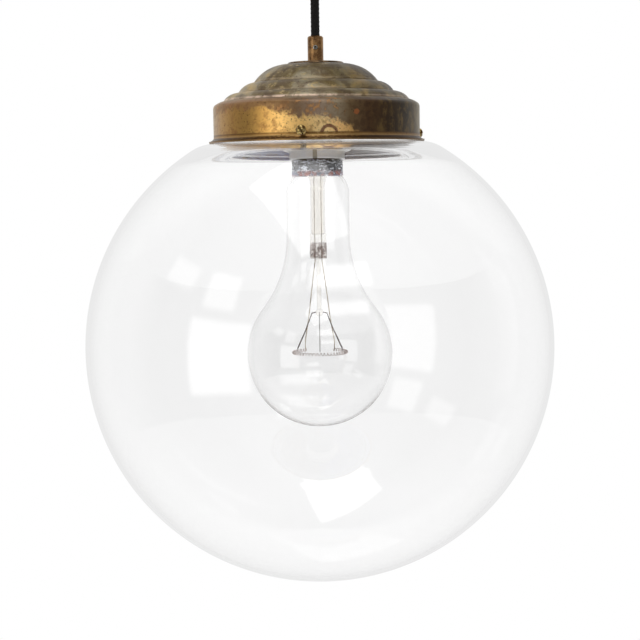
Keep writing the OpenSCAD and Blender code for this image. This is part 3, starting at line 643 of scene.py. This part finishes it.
def rubbed_gold(put, at):
    """Where hands have rubbed the wall, up to a ragged edge, and the warm gold that shows there,
    with painted light in it: palest a little right of the front, dimmer to the left and darker
    towards the right; dulled in patches and specks."""
    rise = put(
        "ValToRGB",
        at.across,
        stops=[
            (0.0, 0.5), (0.1, 0.72), (0.2, 0.78), (0.34, 0.8), (0.4, 0.7),
            (0.46, 0.56), (0.52, 0.52), (0.57, 0.46), (0.62, 0.2), (0.66, 0.0),
        ],
    )
    ragged = put("Math", at.mottle, 9, -11, **TIMES_PLUS)
    ragged = put("Math", at.blotches, 13, ragged, **TIMES_PLUS)
    ragged = put("Math", at.high, ragged, operation="ADD")
    over = put("Math", rise, -GALLERY_WALL, ragged, **TIMES_PLUS)
    rubbed = put("MapRange", over, 1.6, -1.6, **SMOOTH)
    # painted light: the gold is palest just right of the front, dimmer to the left and darker
    # towards the right
    gold = put(
        "ValToRGB",
        at.across,
        stops=[
            (0.05, "#B49A72"), (0.14, "#B48E58"), (0.22, "#AE8546"), (0.28, "#B08848"),
            (0.34, "#D0A056"), (0.4, "#F8C878"), (0.46, "#F8CC80"), (0.52, "#FFDC9C"),
            (0.57, "#F4C480"), (0.61, "#C89C5C"), (0.66, "#7E6034"),
        ],
    )
    for pattern, start, full, share, tint in (
        (at.mottle, 0.48, 0.36, 0.5, "#96693C"),
        (at.blotches, 0.44, 0.34, 0.6, "#8C6034"),
        (at.specks, 0.42, 0.3, 0.7, "#6E4A28"),
    ):
        spots = put("MapRange", pattern, start, full, 0, share, **SMOOTH)
        gold = put("Mix", spots, gold, tint, **COLOUR)
    return rubbed, gold


# degrees round from the front, mm above the flange, radius, thickness and colour
GALLERY_STAINS = [(6.6, 3.6, 4.6, 1.0, "#74493A"), (21.7, 16.6, 0, 1.7, "#8A4F26")]


def stained(put, at, colour):
    """A ring left by something wet, gone below its middle, and a spot of red oxide."""
    degree = math.radians(1) * GALLERY_RADIUS
    for at_side, at_high, ring, thickness, tint in GALLERY_STAINS:
        along = put("Math", at.around, degree, -at_side * degree, **TIMES_PLUS)
        above = put("Math", at.high, at_high, operation="SUBTRACT")
        away = put("VectorMath", put("CombineXYZ", along, above), operation="LENGTH", out="Value")
        away = put("Math", put("Math", away, ring, operation="SUBTRACT"), operation="ABSOLUTE")
        away = put("Math", away, 1.1, operation="SUBTRACT")
        away = put("Math", at.mottle, 2.2, away, **TIMES_PLUS)
        stain = put("MapRange", away, thickness + 0.3, thickness - 0.4, 0, 0.85, **SMOOTH)
        if ring:
            stain = put("Math", stain, put("MapRange", above, -1.0, 0.6, **SMOOTH), **TIMES)
        colour = put("Mix", stain, colour, tint, **COLOUR)
    return colour


def painted_flange_light(put, at, colour):
    """Painted shade above and below the flange's bead, painted highlights on the bead and the lip,
    and painted shade darkening it towards the right, broken up in specks.
    """
    # by height: the dark bands are painted shade, the pale ones painted highlights
    flange = put(
        "ValToRGB",
        put("MapRange", at.high, 0, 8),
        stops=[
            (0.0, "#A88C68"), (0.08, "#7A5A36"), (0.16, "#3E2810"), (0.28, "#4A3016"),
            (0.36, "#B8925C"), (0.46, "#A07840"), (0.56, "#5E4020"), (0.7, "#6E4E28"),
        ],
    )
    # painted shade: the flange is darker towards the right
    shade = put(
        "ValToRGB", at.across, stops=[(0.1, 0.8), (0.3, 1.0), (0.5, 0.95), (0.65, 0.6), (0.9, 0.5)]
    )
    flange = put("Mix", 1.0, flange, shade, blend_type="MULTIPLY", **COLOUR)
    near = put("MapRange", at.high, 5.2, 4.2, **SMOOTH)
    near = put("Math", near, put("MapRange", at.specks, 0.25, 0.5, 0.45, 0.95), **TIMES)
    return put("Mix", near, colour, flange, **COLOUR)


# painted highlights on the steps' edges: radius in mm, strength and colour
STEP_EDGE_HIGHLIGHTS = [(58.9, 0.9, "#DCC2AE"), (49.5, 0.4, "#A5917B"), (39.3, 0.5, "#B8A488")]


def step_edge_highlights(put, at, colour):
    """Painted highlights along the edges where the steps meet, broken up in blotches and fading
    towards the right.
    """
    for radius, share, tint in STEP_EDGE_HIGHLIGHTS:
        edge = put("Math", put("Math", at.out, radius, operation="SUBTRACT"), operation="ABSOLUTE")
        edge = put("MapRange", edge, 1.0, 0.1, 0, share, **SMOOTH)
        for pattern, start, full, least in ((at.blotches, 0.6, 0.42, 0.25), (at.side, 34, 8, 0.3)):
            kept = put("MapRange", pattern, start, full, least, 1.0, **SMOOTH)
            edge = put("Math", edge, kept, **TIMES)
        colour = put("Mix", edge, colour, tint, **COLOUR)
    return colour


def inner_tint(put, at, colour):
    """The inside, whose faces look towards the axis or down: dull blue-grey, browner at the right.
    Gives back where it is, and the colour with it."""
    # a face that looks down counts beside one that looks inwards as if 30 mm from the axis
    nx, ny, nz = put("SeparateXYZ", put("TexCoord", out="Normal"), out=None)
    facing = put("Math", nx, at.x, put("Math", ny, at.y, **TIMES), **TIMES_PLUS)
    facing = put("Math", nz, 30 * MM, facing, **TIMES_PLUS)
    inside = put("Math", facing, 0, operation="LESS_THAN")
    inside = put("Math", inside, put("Math", at.high, 0.6, operation="GREATER_THAN"), **TIMES)
    skin = put(
        "ValToRGB",
        put("MapRange", at.x, -GALLERY_RADIUS * MM, GALLERY_RADIUS * MM),
        stops=[
            (0.1, "#C8CAE0"), (0.4, "#9CA8DC"), (0.56, "#8C8898"), (0.72, "#8A7460"),
            (0.95, "#B8AEA2"),
        ],
    )
    brown = put("MapRange", at.blotches, 0.5, 0.64, 0, 0.5, **SMOOTH)
    skin = put("Mix", brown, skin, "#8E7468", **COLOUR)
    return inside, put("Mix", inside, colour, skin, **COLOUR)


def gallery_finish():
    """Spun sheet brass, its lacquer gone and tarnished for decades. Low on the wall hands have
    rubbed it to warm gold, pitted and spotted; above is violet-grey and olive oxide, on the right a
    dark brown one. Over these lies painted light: brighter about the front and darker to the right,
    with painted highlights on the steps' edges and in streaks on the wall's right third, a painted
    reflection at its far right edge, and painted shade and highlights on the flange. Inside, the
    sheet is dull blue-grey."""
    material, put, shader, place = surface("spun_brass_gallery")
    at = gallery_places(put, place)
    rubbed, gold = rubbed_gold(put, at)
    colour = put("Mix", rubbed, gallery_oxide(put, at), gold, **COLOUR)
    for layer in (stained, painted_flange_light, step_edge_highlights):
        colour = layer(put, at, colour)
    pits = put("TexVoronoi", {"Vector": place, "Scale": per_mm(2.4)}, out="Distance")
    pits = put("MapRange", pits, 0.24, 0.1, **SMOOTH)
    pits = put("Math", pits, put("MapRange", at.blotches, 0.4, 0.54, **SMOOTH), **TIMES)
    colour = put("Mix", put("Math", pits, 0.75, **TIMES), colour, "#38240F", **COLOUR)
    inside, colour = inner_tint(put, at, colour)
    metal = put("MapRange", rubbed, 0, 1, 0.55, 0.85)
    metal = put("Math", metal, put("MapRange", inside, 0, 1, 1.0, 0.35), **TIMES)
    rough = put("MapRange", rubbed, 0, 1, 0.33, 0.26)
    rough = put("Math", at.blotches, 0.2, rough, **TIMES_PLUS)
    # spinning rings: 0.7 mm apart, coarser than the tool left them so that they show
    sheet = put("Math", at.out, at.high, operation="ADD")
    rings = put("TexNoise", sheet, 1.4, 2, noise_dimensions="1D")
    relief = put("Math", at.specks, 0.35, **TIMES)
    for pattern, share in ((rings, 0.2), (at.blotches, 0.9), (pits, -0.5)):
        relief = put("Math", pattern, share, relief, **TIMES_PLUS)
    bump = put("Bump", {"Height": relief, "Strength": 0.35, "Distance": 0.25 * MM})
    feed(shader, {"Base Color": colour, "Metallic": metal, "Roughness": rough, "Normal": bump})
    return material


def tarnished_sheet():
    """The same spun brass out of reach on the ceiling: an even olive-brown oxide, clouded and
    flecked with gold."""
    material, put, shader, place = surface("spun_brass_cup")
    clouds, blotches, specks = (
        put("TexNoise", {"Vector": place, "Scale": per_mm(size), "Detail": fine, "Roughness": 0.6})
        for size, fine in ((26, 5), (8, 5), (1.4, 3))
    )
    colour = put(
        "ValToRGB",
        clouds,
        stops=[(0.32, "#6A5A3C"), (0.46, "#86744E"), (0.56, "#8A7B5E"), (0.7, "#AD925C")],
    )
    for pattern, start, full, share, tint in (
        (blotches, 0.5, 0.64, 0.8, "#6F6660"),
        (specks, 0.6, 0.72, 0.6, "#C9AC72"),
    ):
        spots = put("MapRange", pattern, start, full, 0, share, **SMOOTH)
        colour = put("Mix", spots, colour, tint, **COLOUR)
    rough = put("MapRange", blotches, 0.3, 0.7, 0.3, 0.46)
    relief = put("Math", blotches, 0.9, put("Math", specks, 0.4, **TIMES), **TIMES_PLUS)
    bump = put("Bump", {"Height": relief, "Strength": 0.35, "Distance": 0.25 * MM})
    feed(shader, {"Base Color": colour, "Metallic": 0.7, "Roughness": rough, "Normal": bump})
    return material


def turned_brass(name, base, dark, worn, metal):
    """Turned solid brass that has dulled: soft streaks round the turning, darker in blotches, worn
    lighter in specks."""
    material, put, shader, place = surface(name)
    blotches, specks = (
        put("TexNoise", {"Vector": place, "Scale": per_mm(size)}, {"Detail": fine, "Roughness": r})
        for size, fine, r in ((4, 5, 0.62), (0.8, 3, 0.55))
    )
    colour = put("Mix", put("MapRange", blotches, 0.4, 0.6, **SMOOTH), dark, base, **COLOUR)
    rubbed = put("MapRange", specks, 0.55, 0.7, 0, 0.7, **SMOOTH)
    colour = put("Mix", rubbed, colour, worn, **COLOUR)
    rough = put("Math", blotches, 0.24, 0.22, **TIMES_PLUS)
    height = put("SeparateXYZ", place, out=2)
    lathe = put("TexNoise", height, per_mm(0.5), 1, noise_dimensions="1D")
    bump = put("Bump", {"Height": lathe, "Strength": 0.2, "Distance": 0.08 * MM})
    feed(shader, {"Base Color": colour, "Metallic": metal, "Roughness": rough, "Normal": bump})
    return material


def plated(name, base, dark, low, high, pitch):
    """Plated or drawn metal, stamped or rolled: faint marks of the rolls, dull spots and stains."""
    material, put, shader, place = surface(name)
    stains, marks = (
        put("TexNoise", {"Vector": place, "Scale": per_mm(size)}, {"Detail": fine, "Roughness": r})
        for size, fine, r in ((5, 4, 0.6), (pitch, 2, 0.5))
    )
    colour = put("Mix", put("MapRange", stains, 0.4, 0.66, **SMOOTH), base, dark, **COLOUR)
    bump = put("Bump", {"Height": marks, "Strength": 0.25, "Distance": 0.1 * MM})
    rough = put("MapRange", stains, 0.3, 0.7, low, high)
    feed(shader, {"Base Color": colour, "Metallic": 1.0, "Roughness": rough, "Normal": bump})
    return material


def crimped_foil():
    """The bulb's nickel-plated cap: thin, crumpled where it was crimped, with a painted shadow that
    darkens it towards the top under the holder and painted glints along its folds."""
    material, put, shader, place = surface("crimped_nickel_brass")
    level = -(GLOBE_LEVEL + SKIRT_BOTTOM)
    height = put("Math", put("SeparateXYZ", place, out=2), 1 / MM, level, **TIMES_PLUS)
    cap_clouds = put("TexNoise", {"Vector": place, "Scale": per_mm(4), "Detail": 5, "Roughness": 0.65})
    creased = put("Mapping", place, (0, 0, 0), (0, 0, 0), (1, 1, 2))
    folds = put("TexNoise", {"Vector": creased, "Scale": per_mm(3), "Detail": 4, "Roughness": 0.7})
    # painted shadow: darker towards the top of the cap, where the holder shades it, broken up by
    # the noise
    painted_shadow = put("Math", cap_clouds, 16, put("Math", height, 1.1, -8, **TIMES_PLUS), **TIMES_PLUS)
    painted_shadow = put("MapRange", painted_shadow, -1, 5, **SMOOTH)
    # painted highlights: glints along the crumpled folds
    bright = put("MapRange", folds, 0.52, 0.6, **SMOOTH)
    burnt = put("MapRange", height, 4.5, 0.5, **SMOOTH)
    burnt = put("Math", burnt, put("MapRange", cap_clouds, 0.42, 0.6, **SMOOTH), **TIMES)
    colour = put("Mix", painted_shadow, "#8088A0", "#14161E", **COLOUR)
    colour = put("Mix", bright, colour, "#E4E8F0", **COLOUR)
    colour = put("Mix", burnt, colour, "#B8685A", **COLOUR)
    bump = put("Bump", {"Height": folds, "Strength": 0.9, "Distance": 0.5 * MM})
    rough = put("MapRange", cap_clouds, 0.3, 0.7, 0.14, 0.36)
    feed(shader, {"Base Color": colour, "Metallic": 1.0, "Roughness": rough, "Normal": bump})
    return material


RIM_BAND_SIDE = -1.4  # where the band's middle is, to the viewer's right
RIM_TOP = SKIRT_TOP + 9.8  # of the lowest rim of the lamp holder


def glazed_porcelain():
    """White electrical porcelain, glazed: clean gloss over a faintly uneven body with a few iron
    specks, and in front a narrow rough grey-green band down the lower rim."""
    material, put, shader, place = surface("glazed_porcelain")
    body = put("TexNoise", {"Vector": place, "Scale": per_mm(12), "Detail": 3})
    uneven = put("MapRange", body, 0.35, 0.7, **SMOOTH)
    colour = put("Mix", uneven, "#ECEBEA", "#DEDCD9", **COLOUR)
    flecks = put("TexVoronoi", {"Vector": place, "Scale": per_mm(5)}, out="Distance")
    flecks = put("MapRange", flecks, 0.06, 0.03, 0, 0.6, **SMOOTH)
    colour = put("Mix", flecks, colour, "#8A7A66", **COLOUR)
    x, y, z = put("SeparateXYZ", place, out=None)
    rim_band = put("Math", x, 1 / MM, -RIM_BAND_SIDE, **TIMES_PLUS)
    rim_band = put("MapRange", put("Math", rim_band, operation="ABSOLUTE"), 1.6, 1.2, 0, 0.9, **SMOOTH)
    in_front = put("Math", y, -10 * MM, operation="LESS_THAN")
    on_rim = put("Math", z, (GLOBE_LEVEL + RIM_TOP) * MM, operation="LESS_THAN")
    for limit in (in_front, on_rim):
        rim_band = put("Math", rim_band, limit, **TIMES)
    colour = put("Mix", rim_band, colour, "#6E6C5E", **COLOUR)
    bump = put("Bump", {"Height": body, "Strength": 0.3, "Distance": 0.3 * MM})
    rough = put("MapRange", rim_band, 0, 1, 0.16, 0.7)
    feed(shader, {"Base Color": colour, "Roughness": rough, "IOR": 1.54, "Normal": bump})
    return material


def braided_cotton():
    """Black cotton yarn in a round braid: soft, nearly matt, each yarn of a few twisted threads
    with a faint sheen."""
    material, put, shader, place = surface("braided_cotton")
    fuzz = put("TexNoise", {"Vector": place, "Scale": per_mm(0.35), "Detail": 3, "Roughness": 0.6})
    worn = put("MapRange", fuzz, 0.4, 0.7, **SMOOTH)
    colour = put("Mix", worn, "#0D0C0B", "#201E1C", **COLOUR)
    bump = put("Bump", {"Height": fuzz, "Strength": 0.5, "Distance": 0.12 * MM})
    feed(shader, {"Base Color": colour, "Roughness": 0.9, "Specular IOR Level": 0.25})
    feed(shader, {"Sheen Weight": 0.08, "Sheen Roughness": 0.4, "Normal": bump})
    return material


CAUGHT = 2.5  # reflections after which the glass glows white: painted light for light caught in its wall
# brightness of that painted glow
ROOM_WHITE = 0.8


def clear_glass(name, tint, ripple, depth, stain=None, middle=0, half=0, soft=0, least=0.0):
    """Blown soda-lime glass, clear: smooth and bright, with slow ripples where the gather cooled.
    A stain reaches half its width to each side of its middle, in mm over the globe's centre, and is
    strongest where the wall turns away: on the bulb a painted shade along its lower outline, at the
    press scorching. Lamps' rays pass straight through, to light what the glass holds, and once a
    ray has been reflected more than CAUGHT times the glass glows room-white instead: painted light
    standing in for light caught in the wall."""
    material, put, shader, place = surface(name)
    waves = {"Vector": place, "Scale": per_mm(ripple), "Detail": 4, "Roughness": 0.4}
    bump = put("Bump", {"Height": put("TexNoise", waves), "Strength": 0.3, "Distance": depth * MM})
    feed(shader, {"Base Color": tint, "Transmission Weight": 1.0, "IOR": 1.52})
    feed(shader, {"Roughness": 0.0, "Normal": bump})
    glass = shader.outputs[0]
    if stain:
        high = put("SeparateXYZ", place, out=2)
        high = put("Math", high, 1 / MM, -GLOBE_LEVEL, **TIMES_PLUS)
        away = put("Math", put("Math", high, middle, operation="SUBTRACT"), operation="ABSOLUTE")
        film = put("MapRange", away, half, half - soft, **SMOOTH)
        # strongest where the wall turns away; on the bulb this makes a painted shade along its
        # outline
        edge = put("LayerWeight", 0.5, out="Facing")
        edge = put("MapRange", edge, 0.78, 0.96, least, 1.0, **SMOOTH)
        patchiness = {"Vector": place, "Scale": per_mm(2), "Detail": 4, "Roughness": 0.6}
        patchiness = put("MapRange", put("TexNoise", patchiness), 0.43, 0.56, 0.2, 1.0)
        for share in (edge, patchiness):
            film = put("Math", film, share, **TIMES)
        glass = put("MixShader", film, glass, put("BsdfDiffuse", stain))
    lamp_ray = put("LightPath", out="Is Shadow Ray")
    mix = put("MixShader", lamp_ray, glass, put("BsdfTransparent"))
    # painted light: past CAUGHT reflections the glass glows white instead of passing the ray on
    painted_glow_mask = put("Math", put("LightPath", out="Glossy Depth"), CAUGHT, operation="GREATER_THAN")
    mix = put("MixShader", painted_glow_mask, mix, put("Emission", "#FFFFFF", ROOM_WHITE))
    feed(material.node_tree.nodes["Material Output"], {"Surface": mix})
    return material


def moulded(name, base, fleck, roughness):
    """Moulded or drawn insulating stuff: even colour with a fine mottle and a soft shine."""
    material, put, shader, place = surface(name)
    mottle = put("TexNoise", {"Vector": place, "Scale": per_mm(1.5), "Detail": 3, "Roughness": 0.6})
    colour = put("Mix", put("MapRange", mottle, 0.4, 0.7, **SMOOTH), base, fleck, **COLOUR)
    bump = put("Bump", {"Height": mottle, "Strength": 0.2, "Distance": 0.1 * MM})
    feed(shader, {"Base Color": colour, "Roughness": roughness, "Normal": bump})
    return material


def painted_floor():
    """Matt white paint, hardly clouded: a plain ground that keeps the lamp's shadow."""
    material, put, shader, place = surface("painted_studio_floor")
    paint = put("TexNoise", {"Vector": place, "Scale": per_mm(600), "Detail": 2, "Roughness": 0.4})
    colour = put("Mix", paint, "#F4F4F4", "#FAFAFA", **COLOUR)
    feed(shader, {"Base Color": colour, "Roughness": 0.8})
    return material


gallery_brass = gallery_finish()
cup_brass = tarnished_sheet()
fitting_brass = turned_brass("turned_brass_dulled", "#9A7448", "#6A4A2A", "#C49A6A", 0.75)
disc_brass = turned_brass("turned_brass_disc", "#85694A", "#4E3C28", "#9C8058", 0.6)
screw_brass = turned_brass("turned_brass_screws", "#D8BC78", "#5A3E1C", "#F0E0B4", 1.0)
clean_brass = turned_brass("drawn_brass_bright", "#D9B36A", "#B98F48", "#E6C888", 1.0)
zinc = plated("zinc_plated_steel", "#C9CBCD", "#9A9C9E", 0.28, 0.5, 0.8)
steel = plated("nickel_plated_steel_screw", "#C8C6C0", "#8A8880", 0.22, 0.4, 0.6)
solder = plated("tin_solder", "#B9BABC", "#8B8C90", 0.3, 0.5, 1.0)
tungsten = plated("coiled_tungsten", "#D8C8C4", "#A89890", 0.35, 0.5, 0.4)
support_wire = plated("molybdenum_wire", "#5E4640", "#3A2A26", 0.3, 0.45, 0.4)
lead_metal = plated("nickel_lead_wire", "#E4DCCC", "#A08C78", 0.25, 0.4, 0.5)
cap_metal = crimped_foil()
porcelain = glazed_porcelain()
cotton = braided_cotton()
globe_clear = clear_glass("blown_clear_glass", "#FFFFFF", 45, 0.25)
# the bulb's stain #5E5246 is painted shade along its lower outline
bulb_clear = clear_glass("thin_bulb_glass", "#FFFFFF", 24, 0.2, "#5E5246", -46, 24, 16)
stem_clear = clear_glass("pressed_lead_glass", "#F8F6F2", 4, 0.2, "#54301F", 62, 6, 2, 0.6)
black_glass = moulded("black_insulating_glass", "#151517", "#24242A", 0.12)
pad_fibre = moulded("pressed_fibre_pad", "#1C1B1A", "#34312E", 0.7)
live_cover = moulded("brown_core_sleeve", "#6B3E22", "#7C4B2C", 0.45)
neutral_cover = moulded("blue_core_sleeve", "#3A6FA8", "#4A80B8", 0.45)

CAD_FINISHES = {
    gallery_brass: ["gallery"],
    cup_brass: ["ceiling_cup"],
    fitting_brass: [
        "outlet_bush", "cord_grip", "ball_collar", "swivel_washer", "entry_bush", "cup_screws",
    ],
    disc_brass: ["top_disc"],
    clean_brass: ["screw_shell", "centre_contact", "side_contact"],
    zinc: [
        "mounting_strap", "bush_nut", "lock_washer", "lock_nut", "block_screw", "terminal_screws",
        "contact_screws",
    ],
    porcelain: ["terminal_block", "holder_cap", "holder_insert", "holder_sleeve"],
    solder: ["bulb_end_contact"],
    tungsten: ["filament"],
    support_wire: ["support_wires"],
    lead_metal: ["lead_wires"],
    stem_clear: ["bulb_stem"],
    black_glass: ["bulb_insulator"],
    pad_fibre: ["screw_pad_1", "screw_pad_2", "screw_pad_3"],
    live_cover: ["live_feed", "live_core"],
    neutral_cover: ["neutral_feed", "neutral_core"],
}
FINISHES = {
    cotton: [braided_cord],
    globe_clear: [globe_glass],
    bulb_clear: [bulb_glass],
    cap_metal: [cap_shell],
    screw_brass: slotted_screws,
    steel: [grip_screw, collar_screw],
}
cad_pieces = {finish: [nodes[name] for name in names] for finish, names in CAD_FINISHES.items()}
for finish, pieces in {**FINISHES, **cad_pieces}.items():
    for piece in pieces:
        piece.data.materials.clear()
        piece.data.materials.append(finish)

# ---- studio

scene = bpy.context.scene
scene.view_settings.view_transform = "Standard"
scene.cycles.max_bounces = 24
scene.cycles.transmission_bounces = 20
scene.cycles.caustics_reflective = False

# The room that glass and metal reflect, by direction in degrees: round from the viewer's side, +
# to the right, and above the level. It has grey walls, a paler ceiling, a floor that is dim in
# front, and windows (left, right, bottom, top, light).
WALLS = [
    (-180, 0.85), (-125, 0.83), (-102, 0.5), (-85, 0.24), (-45, 0.26),
    (0, 0.34), (40, 0.4), (75, 0.28), (100, 0.5), (120, 0.83),
]
CEILING = 0.6
CEILING_FADE = (48, 80)
FLOOR_FRONT = 0.25
FLOOR_BEHIND = 0.85
FLOOR_FADE = (-6, -32)
SIDES_FADE = (90, 120)  # where the floor goes from its front to behind
WINDOWS = [
    (-67, -31, -18, 17, 1.4),
    (-63, -41, 18, 37, 1.1),
    (-91, -68, 23, 36, 0.8),
    (-7, 31, 31, 46, 1.8),
    (0, 27, 18, 28, 1.8),
]
WINDOW_EDGE = 4
# In the ceiling, a skylight where two strips cross. Each lies between two parallel lines on a plane
# one unit up: how the lines face to the right and away, and where the strip begins and ends.
SKYLIGHT = [(0.57, -0.82, -0.35, 0.62), (0.97, 0.25, -0.4, 0.12)]
SKYLIGHT_EDGE = 0.03
SKYLIGHT_FADE = (20, 30)
SKYLIGHT_LIGHT = 1.5
PLAIN_LIGHT = 0.75  # on the lamp's rough surfaces


def white_studio():
    """White to the eye and through glass, plain light on rough surfaces, and in reflections the
    room with its windows."""
    studio = bpy.data.worlds.new("white_studio")
    studio.use_nodes = True
    put = partial(add, studio.node_tree)
    direction = put("TexCoord", out="Generated")
    x, y, z = put("SeparateXYZ", direction, out=None)
    turn = put("Math", x, put("Math", y, -1, **TIMES), operation="ARCTAN2")
    around = put("Math", turn, DEGREES, **TIMES)
    above = put("Math", put("Math", z, operation="ARCSINE"), DEGREES, **TIMES)
    share = put("MapRange", around, -180, 180)
    walls = put("ValToRGB", share, stops=[((a + 180) / 360, light) for a, light in WALLS])
    behind = put("Math", around, operation="ABSOLUTE")
    behind = put("MapRange", behind, *SIDES_FADE, **SMOOTH)
    floor_front, floor_behind, ceiling = (
        (light, light, light, 1) for light in (FLOOR_FRONT, FLOOR_BEHIND, CEILING)
    )
    ground = put("Mix", behind, floor_front, floor_behind, **COLOUR)
    room = put("Mix", put("MapRange", above, *FLOOR_FADE, **SMOOTH), walls, ground, **COLOUR)
    room = put("Mix", put("MapRange", above, *CEILING_FADE, **SMOOTH), room, ceiling, **COLOUR)

    glow = 0.0
    for left, right, bottom, top, light in WINDOWS:
        pane = light
        for angle, edge, inner in (
            (around, left, left + WINDOW_EDGE),
            (around, right, right - WINDOW_EDGE),
            (above, bottom, bottom + WINDOW_EDGE),
            (above, top, top - WINDOW_EDGE),
        ):
            pane = put("Math", pane, put("MapRange", angle, edge, inner, **SMOOTH), **TIMES)
        glow = put("Math", pane, glow, operation="ADD")
    overhead = put("VectorMath", direction, put("CombineXYZ", z, z, 1), operation="DIVIDE")
    pane = put("MapRange", above, *SKYLIGHT_FADE, 0, SKYLIGHT_LIGHT)
    for right, away, begin, end in SKYLIGHT:
        strip = put("VectorMath", overhead, (right, away, 0), operation="DOT_PRODUCT", out="Value")
        for edge, inner in ((begin, begin + SKYLIGHT_EDGE), (end, end - SKYLIGHT_EDGE)):
            pane = put("Math", pane, put("MapRange", strip, edge, inner, **SMOOTH), **TIMES)
    glow = put("Math", pane, glow, operation="ADD")
    glow = put("CombineXYZ", glow, glow, glow)
    room = put("Mix", 1.0, room, glow, blend_type="ADD", **COLOUR)

    seen, reflected, through, turns = (
        put("LightPath", out=ray)
        for ray in ("Is Camera Ray", "Is Glossy Ray", "Is Transmission Ray", "Glossy Depth")
    )
    direct = put("Math", seen, through, operation="MAXIMUM")
    mirrored = put("Math", turns, 0.5, operation="GREATER_THAN")
    mirrored = put("Math", mirrored, put("Math", reflected, through, operation="MAXIMUM"), **TIMES)
    plain = put("Background", "#FFFFFF", PLAIN_LIGHT)
    mix = put("MixShader", direct, plain, put("Background", "#FFFFFF", 1.0))
    mix = put("MixShader", mirrored, mix, put("Background", room, 1.0))
    feed(studio.node_tree.nodes["World Output"], {"Surface": mix})
    return studio


scene.world = white_studio()

FLOOR_LEVEL = -1500
FLOOR_RADIUS = 2600
FLOOR_SIDES = 180
floor = add_mesh(
    "floor",
    [(x, y, FLOOR_LEVEL) for x, y in arc((0, 0), FLOOR_RADIUS, 0, 360, FLOOR_SIDES)[1:]],
    [tuple(range(FLOOR_SIDES))],
    False,
)
floor.data.materials.append(painted_floor())
floor.visible_glossy = False

LAMPS_AIM = Vector((0, 0, -0.25))
for name, place, size, power in (
    ("softbox_left", (-1.5, -1.6, 0.5), 1.4, 26),
    ("softbox_right", (1.7, -1.2, 0.2), 1.2, 6),
    ("softbox_top", (0.2, 0.6, 1.4), 1.6, 14),
):
    softbox = bpy.data.lights.new(name, "AREA")
    softbox.size = size
    softbox.energy = power
    stand = bpy.data.objects.new(name, softbox)
    stand.location = place
    stand.rotation_euler = (LAMPS_AIM - Vector(place)).to_track_quat("-Z", "Y").to_euler()
    stand.visible_transmission = False
    stand.visible_glossy = False
    scene.collection.objects.link(stand)
